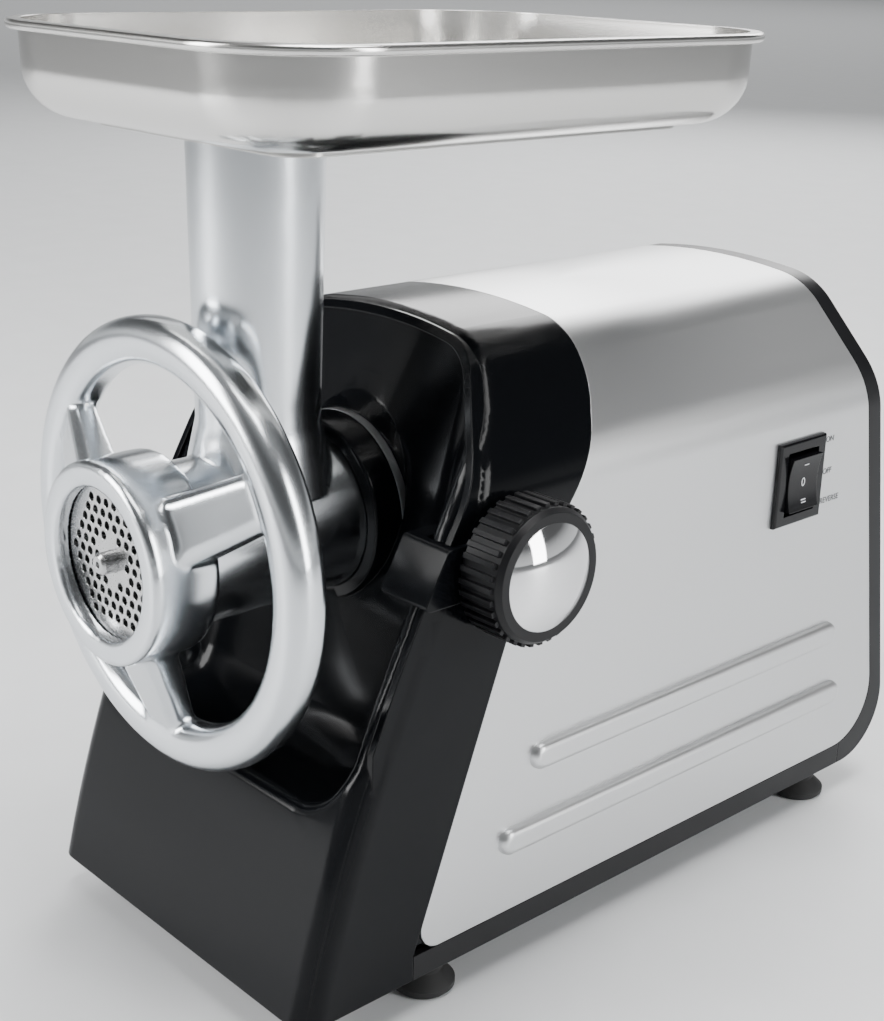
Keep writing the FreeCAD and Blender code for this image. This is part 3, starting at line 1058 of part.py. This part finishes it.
half_wide = (well_y2 - well_y1) / 2 - S.rocker_gap
half_high = (well_z2 - well_z1) / 2 - 2.2
crown_x = S.body_half_width + S.rocker_crown
side = [V(pivot_x - 6, 0, middle_z - 3), V(pivot_x - 6, 0, middle_z + 3),
        V(pivot_x + 1, 0, middle_z + half_high), V(crown_x, 0, middle_z + half_high),
        V(crown_x - 1.8, 0, middle_z), V(crown_x, 0, middle_z - half_high),
        V(pivot_x + 1, 0, middle_z - half_high)]
edges = [Part.LineSegment(side[i], side[i + 1]).toShape() for i in (0, 1, 2)]
edges.append(Part.Arc(side[3], side[4], side[5]).toShape())
edges += [Part.LineSegment(side[5], side[6]).toShape(), Part.LineSegment(side[6], side[0]).toShape()]
rocker = Part.Face(Part.Wire(edges)).extrude(V(0, 2 * half_wide, 0))
rocker.translate(V(0, middle_y - half_wide, 0))
node("switch_rocker", solid("switch_rocker", rocker))

# ---------------------------------------------------------------- wiring block

block_y = S.bracket_rear_y - 10
terminal = Part.makeBox(18, 34, 14, V(-74, block_y, S.base_under + S.shell_wall))
for index in range(4):
    terminal = terminal.cut(round_bar("z", -65, block_y + 5 + 8 * index,
                                      S.base_under + S.shell_wall + 6, 2, 20))
node("terminal_block", solid("terminal_block", terminal))

# ---------------------------------------------------------------- checks and export

def check_all():
    """Stop before anything is written if an object failed or a sub-part isn't a valid solid."""
    for obj in doc.Objects:
        if "Invalid" in obj.State or "Error" in obj.State:
            raise SystemExit("%s did not build: %s" % (obj.Label, obj.State))
    for name, obj in NODES.items():
        if obj.Shape.isNull() or not obj.Shape.isValid() or not obj.Shape.Solids:
            raise SystemExit("%s has no valid solid" % name)


doc.recompute()
check_all()

# the origin is the bottom centre of the box round every sub-part
whole = FreeCAD.BoundBox()
for obj in NODES.values():
    whole.add(obj.Shape.optimalBoundingBox(False, False))
origin = {"origin_x": -whole.Center.x, "origin_y": -whole.Center.y, "origin_z": -whole.ZMin}
for row, (alias, value) in enumerate(SIZES, start=1):
    if alias in origin:
        sheet.set("B%d" % row, str(round(origin[alias], 6)))
doc.recompute()
check_all()
for name, obj in NODES.items():
    obj.Shape.exportStep("parts/%s.step" % name)
print("%d sub-parts, overall %.2f x %.2f x %.2f" % (len(NODES), whole.XLength, whole.YLength, whole.ZLength))
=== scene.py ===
"""Electric meat grinder: the looks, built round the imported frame.

The frame is in metres, +Z up, with the feet on Z = 0, +Y to the back and +X to the side with the lock
knob and the switch. Each sub-assembly is a class that builds its meshes and dresses them, each finish is
a frozen dataclass, and main() builds them in order.
"""

import json
import logging
import math
from dataclasses import dataclass
from enum import Enum

import bpy
from mathutils import Matrix, Vector


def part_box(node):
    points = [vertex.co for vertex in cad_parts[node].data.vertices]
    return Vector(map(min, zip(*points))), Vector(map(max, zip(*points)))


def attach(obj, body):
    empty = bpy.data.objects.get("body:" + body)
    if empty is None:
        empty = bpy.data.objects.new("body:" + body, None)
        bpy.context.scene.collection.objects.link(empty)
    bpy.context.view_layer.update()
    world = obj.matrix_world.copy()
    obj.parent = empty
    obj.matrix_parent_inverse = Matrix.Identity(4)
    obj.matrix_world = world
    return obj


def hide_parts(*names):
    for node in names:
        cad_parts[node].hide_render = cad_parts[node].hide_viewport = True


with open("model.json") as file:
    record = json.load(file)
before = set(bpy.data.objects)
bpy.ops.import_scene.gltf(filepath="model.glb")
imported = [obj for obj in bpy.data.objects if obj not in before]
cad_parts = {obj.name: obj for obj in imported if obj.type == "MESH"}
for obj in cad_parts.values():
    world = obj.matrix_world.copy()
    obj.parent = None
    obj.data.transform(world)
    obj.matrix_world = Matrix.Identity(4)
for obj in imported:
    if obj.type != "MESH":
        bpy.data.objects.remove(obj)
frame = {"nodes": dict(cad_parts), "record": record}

LOG = logging.getLogger("meat_grinder")
MM = 0.001
SHARP_ANGLE = math.radians(28)
MERGE_DISTANCE = 1e-6
QUARTER_TURN = math.radians(90)


# ---------------------------------------------------------------------- shared shader groups


class ShaderGroups:
    """Node groups that more than one finish uses, each built once."""

    built: dict = {}

    @classmethod
    def grain(cls) -> bpy.types.ShaderNodeTree:
        """Fine isotropic moulding or casting grain.

        Returns:
            A group with Size in, and Height and Mask out.
        """
        if "grain" in cls.built:
            return cls.built["grain"]
        group = bpy.data.node_groups.new("fine_grain", "ShaderNodeTree")
        size = group.interface.new_socket("Size", in_out="INPUT", socket_type="NodeSocketFloat")
        size.default_value = 900.0
        group.interface.new_socket("Height", in_out="OUTPUT", socket_type="NodeSocketFloat")
        group.interface.new_socket("Mask", in_out="OUTPUT", socket_type="NodeSocketFloat")
        nodes, links = group.nodes, group.links
        come, go = nodes.new("NodeGroupInput"), nodes.new("NodeGroupOutput")
        place = nodes.new("ShaderNodeTexCoord")
        fine, broad = nodes.new("ShaderNodeTexNoise"), nodes.new("ShaderNodeTexNoise")
        fine.inputs["Detail"].default_value = 3.0
        broad.inputs["Scale"].default_value = 22.0
        broad.inputs["Detail"].default_value = 4.0
        links.new(come.outputs["Size"], fine.inputs["Scale"])
        links.new(place.outputs["Object"], fine.inputs["Vector"])
        links.new(place.outputs["Object"], broad.inputs["Vector"])
        links.new(fine.outputs["Fac"], go.inputs["Height"])
        links.new(broad.outputs["Fac"], go.inputs["Mask"])
        cls.built["grain"] = group
        return group

    @classmethod
    def brushing(cls) -> bpy.types.ShaderNodeTree:
        """Long fine scratches that run along one axis.

        Returns:
            A group with Stretch (a scale along X, Y and Z) in, and Height and Mask out.
        """
        if "brushing" in cls.built:
            return cls.built["brushing"]
        group = bpy.data.node_groups.new("brushing", "ShaderNodeTree")
        stretch = group.interface.new_socket("Stretch", in_out="INPUT", socket_type="NodeSocketVector")
        stretch.default_value = (900.0, 9.0, 900.0)
        group.interface.new_socket("Height", in_out="OUTPUT", socket_type="NodeSocketFloat")
        group.interface.new_socket("Mask", in_out="OUTPUT", socket_type="NodeSocketFloat")
        nodes, links = group.nodes, group.links
        come, go = nodes.new("NodeGroupInput"), nodes.new("NodeGroupOutput")
        place, scale = nodes.new("ShaderNodeTexCoord"), nodes.new("ShaderNodeVectorMath")
        scale.operation = "MULTIPLY"
        lines, cloud = nodes.new("ShaderNodeTexNoise"), nodes.new("ShaderNodeTexNoise")
        lines.inputs["Scale"].default_value = 1.0
        lines.inputs["Detail"].default_value = 4.0
        lines.inputs["Roughness"].default_value = 0.65
        cloud.inputs["Scale"].default_value = 14.0
        cloud.inputs["Detail"].default_value = 3.0
        links.new(place.outputs["Object"], scale.inputs[0])
        links.new(come.outputs["Stretch"], scale.inputs[1])
        links.new(scale.outputs[0], lines.inputs["Vector"])
        links.new(place.outputs["Object"], cloud.inputs["Vector"])
        links.new(lines.outputs["Fac"], go.inputs["Height"])
        links.new(cloud.outputs["Fac"], go.inputs["Mask"])
        cls.built["brushing"] = group
        return group


# ---------------------------------------------------------------------- finishes


class Grain(Enum):
    """The fine surface pattern of a finish."""

    MOULDED = "moulded"
    BRUSHED = "brushed"


@dataclass(frozen=True)
class Finish:
    """A surface finish, which makes one procedural material.

    Attributes:
        name: the material's name.
        color: the base colour, linear red, green and blue.
        metallic: 1 for bare metal, 0 for plastic and rubber.
        roughness: the middle of the roughness range.
        spread: how far the roughness wanders to each side.
        shade: how far the base colour darkens in its mottled places.
        grain: the pattern of its fine bump.
        size: the grain's scale, or the scratches' scale across their run.
        bump: the bump's distance in metres.
        coat: the clear coat's weight.
        anisotropy: how far reflections stretch along the brushing.
        run: the brushing's direction.
        edge: the radius in metres that broken edges are shaded with.
        specular: the strength of a plastic's reflection.
    """

    name: str
    color: tuple
    metallic: float = 0.0
    roughness: float = 0.4
    spread: float = 0.05
    shade: float = 0.1
    grain: Grain = Grain.MOULDED
    size: float = 900.0
    bump: float = 0.00001
    coat: float = 0.0
    anisotropy: float = 0.0
    run: tuple = (0.0, 1.0, 0.0)
    edge: float = 0.0005
    specular: float = 0.5

    def material(self) -> bpy.types.Material:
        """Builds the material, or finds it if it is built already.

        Returns:
            The material.
        """
        found = bpy.data.materials.get(self.name)
        if found:
            return found
        made = bpy.data.materials.new(self.name)
        made.use_nodes = True
        nodes, links = made.node_tree.nodes, made.node_tree.links
        shader = nodes["Principled BSDF"]
        shader.inputs["Metallic"].default_value = self.metallic
        shader.inputs["Coat Weight"].default_value = self.coat
        shader.inputs["Specular IOR Level"].default_value = self.specular
        shader.inputs["Coat Roughness"].default_value = 0.04
        shader.inputs["Anisotropic"].default_value = self.anisotropy
        pattern = nodes.new("ShaderNodeGroup")
        if self.grain is Grain.BRUSHED:
            pattern.node_tree = ShaderGroups.brushing()
            pattern.inputs["Stretch"].default_value = [self.size * (1 - 0.99 * abs(r)) for r in self.run]
        else:
            pattern.node_tree = ShaderGroups.grain()
            pattern.inputs["Size"].default_value = self.size
        rough = nodes.new("ShaderNodeMapRange")
        rough.inputs["From Min"].default_value = 0.3
        rough.inputs["From Max"].default_value = 0.7
        rough.inputs["To Min"].default_value = max(self.roughness - self.spread, 0.02)
        rough.inputs["To Max"].default_value = self.roughness + self.spread
        source = "Height" if self.grain is Grain.BRUSHED else "Mask"
        links.new(pattern.outputs[source], rough.inputs["Value"])
        links.new(rough.outputs["Result"], shader.inputs["Roughness"])
        mix = nodes.new("ShaderNodeMix")
        mix.data_type = "RGBA"
        mix.inputs["A"].default_value = (*[c * (1 - self.shade) for c in self.color], 1.0)
        mix.inputs["B"].default_value = (*self.color, 1.0)
        links.new(pattern.outputs["Mask"], mix.inputs["Factor"])
        links.new(mix.outputs["Result"], shader.inputs["Base Color"])
        edge = nodes.new("ShaderNodeBevel")
        edge.samples = 6
        edge.inputs["Radius"].default_value = self.edge
        bump = nodes.new("ShaderNodeBump")
        bump.inputs["Distance"].default_value = self.bump
        bump.inputs["Strength"].default_value = 0.6
        links.new(edge.outputs["Normal"], bump.inputs["Normal"])
        links.new(pattern.outputs["Height"], bump.inputs["Height"])
        links.new(bump.outputs["Normal"], shader.inputs["Normal"])
        return made


GLOSS_BLACK = Finish("gloss_black_shell", (0.0035, 0.004, 0.005), roughness=0.15, spread=0.02, size=500,
                     bump=1e-6, edge=0.0008, specular=0.14)
SATIN_BLACK = Finish("satin_black_moulding", (0.006, 0.006, 0.007), roughness=0.36, spread=0.05,
                     size=1600, bump=1e-5, specular=0.25)
KNOB_BLACK = Finish("knob_moulding", (0.004, 0.004, 0.005), roughness=0.22, spread=0.04, size=1200,
                    bump=5e-6, specular=0.3)
BRUSHED_COVER = Finish("brushed_cover_steel", (0.70, 0.705, 0.71), metallic=1.0, roughness=0.36,
                       spread=0.025, shade=0.03, grain=Grain.BRUSHED, size=3200, bump=1e-6,
                       anisotropy=0.5)
POLISHED_TRAY = Finish("polished_tray_steel", (0.72, 0.71, 0.69), metallic=1.0, roughness=0.20,
                       spread=0.02, shade=0.04, grain=Grain.BRUSHED, size=2600, bump=6e-7,
                       anisotropy=0.4, run=(0.7, 0.7, 0.0))
CAST_HEAD = Finish("polished_casting", (0.74, 0.77, 0.80), metallic=1.0, roughness=0.20, spread=0.03,
                   shade=0.04, grain=Grain.MOULDED, size=900, bump=2e-6, edge=0.0016)
GROUND_STEEL = Finish("ground_steel", (0.55, 0.55, 0.55), metallic=1.0, roughness=0.25, spread=0.05,
                      shade=0.1, grain=Grain.BRUSHED, size=1200, bump=4e-6)
CHROME = Finish("knob_chrome", (0.82, 0.82, 0.83), metallic=1.0, roughness=0.06, spread=0.02,
                shade=0.02, grain=Grain.MOULDED, size=300, bump=1e-6)
RUBBER = Finish("foot_rubber", (0.012, 0.012, 0.012), roughness=0.62, spread=0.08, size=1400, bump=2e-5)
ZINC = Finish("zinc_plate", (0.55, 0.55, 0.52), metallic=1.0, roughness=0.35, spread=0.08, shade=0.15,
              grain=Grain.MOULDED, size=900, bump=4e-6)
BRONZE = Finish("bearing_bronze", (0.45, 0.28, 0.11), metallic=1.0, roughness=0.42, spread=0.08,
                shade=0.2, grain=Grain.MOULDED, size=1500, bump=8e-6)
ALLOY = Finish("cast_alloy", (0.42, 0.43, 0.44), metallic=1.0, roughness=0.45, spread=0.08, shade=0.15,
               grain=Grain.MOULDED, size=900, bump=2e-5)
GEAR_STEEL = Finish("gear_steel", (0.38, 0.38, 0.39), metallic=1.0, roughness=0.30, spread=0.08,
                    shade=0.15, grain=Grain.BRUSHED, size=900, bump=5e-6)
NYLON = Finish("gear_nylon", (0.62, 0.60, 0.52), roughness=0.45, spread=0.06, size=1200, bump=6e-6)
LAMINATION = Finish("stacked_sheet", (0.10, 0.10, 0.11), metallic=0.8, roughness=0.5, spread=0.08,
                    shade=0.2, grain=Grain.BRUSHED, size=1500, bump=2e-5, run=(1.0, 0, 1.0))
COPPER = Finish("enamelled_copper", (0.50, 0.20, 0.07), metallic=1.0, roughness=0.32, spread=0.08,
                shade=0.2, grain=Grain.BRUSHED, size=1300, bump=3e-5, coat=0.3)
CARBON = Finish("pressed_carbon", (0.02, 0.02, 0.02), roughness=0.6, spread=0.08, size=1500, bump=1e-5)
SIGN_WHITE = Finish("sign_white", (0.75, 0.76, 0.78), roughness=0.5, spread=0.04, size=1500, bump=1e-6,
                    edge=5e-5)
PRINT_GREY = Finish("print_grey", (0.06, 0.065, 0.07), roughness=0.55, spread=0.04, size=1500,
                    bump=1e-6, edge=5e-5)
STUDIO_FLOOR = Finish("studio_floor", (0.80, 0.81, 0.82), roughness=0.55, spread=0.02, size=50, bump=1e-6)

SLOT_FINISH = {
    "black_gloss": GLOSS_BLACK, "black_satin": SATIN_BLACK, "switch_black": KNOB_BLACK,
    "brushed_cover": BRUSHED_COVER, "polished_tray": POLISHED_TRAY, "cast_head": CAST_HEAD,
    "cutting_steel": GROUND_STEEL, "worm_casting": CAST_HEAD, "chrome": CHROME, "foot_rubber": RUBBER,
    "zinc_screws": ZINC, "bearing_bronze": BRONZE, "case_alloy": ALLOY, "gear_steel": GEAR_STEEL,
    "gear_nylon": NYLON, "lamination": LAMINATION, "copper": COPPER, "carbon": CARBON,
}


def dress(piece: bpy.types.Object, finish: Finish) -> None:
    """Gives a piece one finish all over.

    Args:
        piece: the mesh object.
        finish: its finish.
    """
    piece.data.materials.clear()
    piece.data.materials.append(finish.material())


def smooth_node(node: bpy.types.Object) -> None:
    """Shades a CAD node smooth between its sharp edges, with modifiers that leave its mesh as it is.

    Args:
        node: the CAD node's object.
    """
    for face in node.data.polygons:
        face.use_smooth = True
    weld = node.modifiers.new("weld", "WELD")
    weld.merge_threshold = MERGE_DISTANCE
    split = node.modifiers.new("sharp_edges", "EDGE_SPLIT")
    split.split_angle = SHARP_ANGLE
    weight = node.modifiers.new("face_weights", "WEIGHTED_NORMAL")
    weight.mode = "FACE_AREA"
    weight.keep_sharp = True


class CarriedParts:
    """The nodes whose modelled shape is shown as it is, dressed by their slot."""

    def dress(self) -> None:
        """Dresses every CAD node."""
        for row in frame["record"]["subparts"]:
            node = frame["nodes"][row["node"]]
            dress(node, SLOT_FINISH[row["material_slot"]])
            smooth_node(node)


def apply_all(piece: bpy.types.Object) -> None:
    """Applies a piece's modifiers and its transform, with nothing else selected.

    Args:
        piece: the mesh object.
    """
    bpy.ops.object.select_all(action="DESELECT")
    piece.select_set(True)
    bpy.context.view_layer.objects.active = piece
    for name in [modifier.name for modifier in piece.modifiers]:
        bpy.ops.object.modifier_apply(modifier=name)
    bpy.ops.object.transform_apply(location=True, rotation=True, scale=True)


@dataclass(frozen=True)
class Casting:
    """A cast piece made from a copy of its CAD node, with flowing fillets in its inner corners.

    Attributes:
        node: the CAD node it stands for.
        body: the body that it rides on.
        finish: its finish.
        grid: the remesh's spacing in metres.
        passes: how many times the surface is relaxed.
    """

    node: str
    body: str
    finish: Finish
    grid: float = 0.001
    passes: int = 10

    def build(self) -> bpy.types.Object:
        """Copies, merges, remeshes and relaxes the shape.

        Returns:
            The finished piece.
        """
        piece = bpy.data.objects.new("cast_" + self.node, frame["nodes"][self.node].data.copy())
        bpy.context.scene.collection.objects.link(piece)
        bpy.ops.object.select_all(action="DESELECT")
        piece.select_set(True)
        bpy.context.view_layer.objects.active = piece
        bpy.ops.object.mode_set(mode="EDIT")
        bpy.ops.mesh.select_all(action="SELECT")
        bpy.ops.mesh.remove_doubles(threshold=MERGE_DISTANCE)
        bpy.ops.mesh.normals_make_consistent(inside=False)
        bpy.ops.object.mode_set(mode="OBJECT")
        grid = piece.modifiers.new("grid", "REMESH")
        grid.mode = "VOXEL"
        grid.voxel_size = self.grid
        relax = piece.modifiers.new("relax", "SMOOTH")
        relax.factor = 0.5
        relax.iterations = self.passes
        apply_all(piece)
        for face in piece.data.polygons:
            face.use_smooth = True
        dress(piece, self.finish)
        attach(piece, self.body)
        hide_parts(self.node)
        LOG.info("%s has %d faces", piece.name, len(piece.data.polygons))
        return piece


@dataclass(frozen=True)
class Legend:
    """One printed word, sign or dot on the machine's right side.

    Attributes:
        name: the piece's name.
        words: the text.
        node: the CAD node that it is printed on.
        body: the body that it rides on.
        across: its left end in metres along +Y.
        height: its middle in metres along +Z.
        size: the text's size in metres.
        finish: its ink.
        turn: a quarter turn for signs that lie on their side.
        stand_off: how far outside the node the text starts before it is laid on, in metres.
        lift: how far the ink clears the surface, in metres.
        thickness: the ink's thickness in metres.
    """

    name: str
    words: str
    node: str
    body: str
    across: float
    height: float
    size: float
    finish: Finish
    turn: float = 0.0
    stand_off: float = 4 * MM
    lift: float = 0.08 * MM
    thickness: float = 0.06 * MM

    def build(self) -> bpy.types.Object:
        """Writes the word, lays it on the node's surface and gives it the ink's thickness.

        Returns:
            The finished piece.
        """
        bpy.ops.object.select_all(action="DESELECT")
        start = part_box(self.node)[1].x + self.stand_off
        bpy.ops.object.text_add(location=(start, self.across, self.height),
                                rotation=(QUARTER_TURN, self.turn, QUARTER_TURN))
        piece = bpy.context.object
        piece.data.body = self.words
        piece.data.size = self.size
        piece.data.align_x = "CENTER" if self.body == "rocker" else "LEFT"
        piece.data.align_y = "CENTER"
        bpy.ops.object.convert(target="MESH")
        piece = bpy.context.object
        piece.name = self.name
        wrap = piece.modifiers.new("lay_on", "SHRINKWRAP")
        wrap.wrap_method = "PROJECT"
        wrap.target = frame["nodes"][self.node]
        wrap.use_negative_direction, wrap.use_positive_direction = True, False
        wrap.use_project_z = True
        wrap.offset = self.lift
        ink = piece.modifiers.new("ink", "SOLIDIFY")
        ink.thickness = self.thickness
        ink.offset = 1.0
        apply_all(piece)
        dress(piece, self.finish)
        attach(piece, self.body)
        return piece


class SwitchLegends:
    """The signs on the rocker and the words beside the switch.

    Attributes:
        signs: each sign's name, text, share of the rocker's height, size in millimetres and turn.
        words: each word's name, text and height over the frame's lower edge in millimetres.
        word_size: the words' size in millimetres.
        word_gap: how far behind the frame the words start, in millimetres.
    """

    signs: tuple = (("sign_one", "I", 0.84, 4.6, QUARTER_TURN), ("sign_off", "0", 0.5, 5.4, 0.0),
                    ("sign_two", "II", 0.16, 4.6, QUARTER_TURN))
    words: tuple = (("word_on", "\u2022ON", 33.0), ("word_off", "\u2022OFF", 18.5),
                    ("word_reverse", "\u2022REVERSE", 5.0))
    word_size: float = 3.7
    word_gap: float = 1.2

    def build(self) -> None:
        """Builds every sign and word."""
        low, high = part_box("switch_frame")
        rocker_low, rocker_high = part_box("switch_rocker")
        middle = (rocker_low.y + rocker_high.y) / 2
        tall = rocker_high.z - rocker_low.z
        for name, text, share, size, turn in self.signs:
            Legend(name, text, "switch_rocker", "rocker", middle, rocker_low.z + share * tall,
                   size * MM, SIGN_WHITE, turn).build()
        for name, text, up in self.words:
            Legend(name, text, "steel_cover", "housing", high.y + self.word_gap * MM,
                   low.z + up * MM, self.word_size * MM, PRINT_GREY).build()


@dataclass
class Studio:
    """A pale floor and soft lights, with the camera a little above the tray.

    Attributes:
        lens: the camera's focal length in millimetres.
        yaw: how far the camera is turned from +Y towards -X, in degrees.
        pitch: how far it looks down, in degrees.
        roll: how far it is tilted on its own axis, in degrees.
        eye: its place from the ring wheel's axis, front and floor, in metres.
        sky_strength: the world's strength.
        sky_bands: the world's greys, each with its place from straight down to straight up.
        boxes: each light's name, place, aim, width, height and power.
    """

    lens: float = 58.21
    yaw: float = 46.988
    pitch: float = 19.182
    roll: float = 1.661
    eye: tuple = (0.469726, -0.275471, 0.383269)
    sky_strength: float = 1.0
    sky_bands: tuple = ((0.0, 0.75), (0.50, 0.80), (0.555, 0.62), (0.62, 0.12), (0.80, 0.08),
                        (0.90, 0.22), (1.0, 0.40))
    boxes: tuple = (("left_box", (-0.9, -1.5, 0.9), (0, 0, 0.18), 0.7, 1.3, 44),
                    ("top_box", (0.15, 0.1, 1.9), (0, 0, 0.18), 1.3, 0.9, 38),
                    ("right_box", (1.7, 0.5, 0.8), (0, 0, 0.18), 0.5, 1.4, 26),
                    ("back_box", (-1.6, 2.4, 1.6), (0, 0, 0.18), 2.0, 1.4, 60),
                    ("far_floor_box", (-6.0, 6.0, 4.5), (-6.0, 6.0, 0), 8.0, 8.0, 230))

    def camera(self) -> None:
        """Sets the camera relative to the worm's axis and the ring wheel's front."""
        low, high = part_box("ring_wheel")
        datum = Vector(((low.x + high.x) / 2, low.y, 0))
        yaw, pitch, roll = (math.radians(a) for a in (self.yaw, self.pitch, self.roll))
        level = Vector((-math.sin(yaw), math.cos(yaw), 0))
        ahead = level * math.cos(pitch) - Vector((0, 0, math.sin(pitch)))
        right = Vector((math.cos(yaw), math.sin(yaw), 0))
        up = right.cross(ahead)
        across = right * math.cos(roll) + up * math.sin(roll)
        upward = up * math.cos(roll) - right * math.sin(roll)
        data = bpy.data.cameras.new("camera")
        data.lens = self.lens
        data.clip_start, data.clip_end = 0.01, 50
        camera = bpy.data.objects.new("camera", data)
        bpy.context.scene.collection.objects.link(camera)
        turn = Matrix((across, upward, -ahead)).transposed().to_4x4()
        camera.matrix_world = Matrix.Translation(datum + Vector(self.eye)) @ turn
        bpy.context.scene.camera = camera

    def sky(self) -> None:
        """A world that is pale low down, dark in a band above that, and mid-grey overhead."""
        world = bpy.data.worlds.new("studio")
        bpy.context.scene.world = world
        world.use_nodes = True
        nodes, links = world.node_tree.nodes, world.node_tree.links
        place, split = nodes.new("ShaderNodeTexCoord"), nodes.new("ShaderNodeSeparateXYZ")
        lift, ramp = nodes.new("ShaderNodeMapRange"), nodes.new("ShaderNodeValToRGB")
        lift.inputs["From Min"].default_value = -1.0
        links.new(place.outputs["Generated"], split.inputs["Vector"])
        links.new(split.outputs["Z"], lift.inputs["Value"])
        links.new(lift.outputs["Result"], ramp.inputs["Fac"])
        links.new(ramp.outputs["Color"], nodes["Background"].inputs["Color"])
        nodes["Background"].inputs["Strength"].default_value = self.sky_strength
        while len(ramp.color_ramp.elements) < len(self.sky_bands):
            ramp.color_ramp.elements.new(0.5)
        for stop, (at, grey) in zip(ramp.color_ramp.elements, self.sky_bands):
            stop.position = at
            stop.color = (grey * 0.97, grey * 0.99, grey, 1)

    def light(self) -> None:
        """Soft boxes over, beside and behind the product."""
        for name, place, aim, across, tall, power in self.boxes:
            data = bpy.data.lights.new(name, "AREA")
            data.shape = "RECTANGLE"
            data.size, data.size_y = across, tall
            data.energy = power
            lamp = bpy.data.objects.new(name, data)
            lamp.location = place
            lamp.rotation_mode = "QUATERNION"
            lamp.rotation_quaternion = (Vector(aim) - Vector(place)).to_track_quat("-Z", "Y")
            bpy.context.scene.collection.objects.link(lamp)

    def floor(self) -> None:
        """A pale floor under the feet."""
        bpy.ops.object.select_all(action="DESELECT")
        bpy.ops.mesh.primitive_plane_add(size=60, location=(0, 0, 0))
        floor = bpy.context.object
        floor.name = "floor"
        dress(floor, STUDIO_FLOOR)

    def build(self) -> None:
        """Builds the whole studio."""
        self.camera()
        self.sky()
        self.light()
        self.floor()


def main() -> None:
    """Builds every sub-assembly in order."""
    logging.basicConfig(level=logging.INFO, format="%(name)s: %(message)s")
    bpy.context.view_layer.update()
    CarriedParts().dress()
    Casting("ring_wheel", "ring_wheel", CAST_HEAD).build()
    SwitchLegends().build()
    Studio().build()


if __name__ == "__main__":
    main()
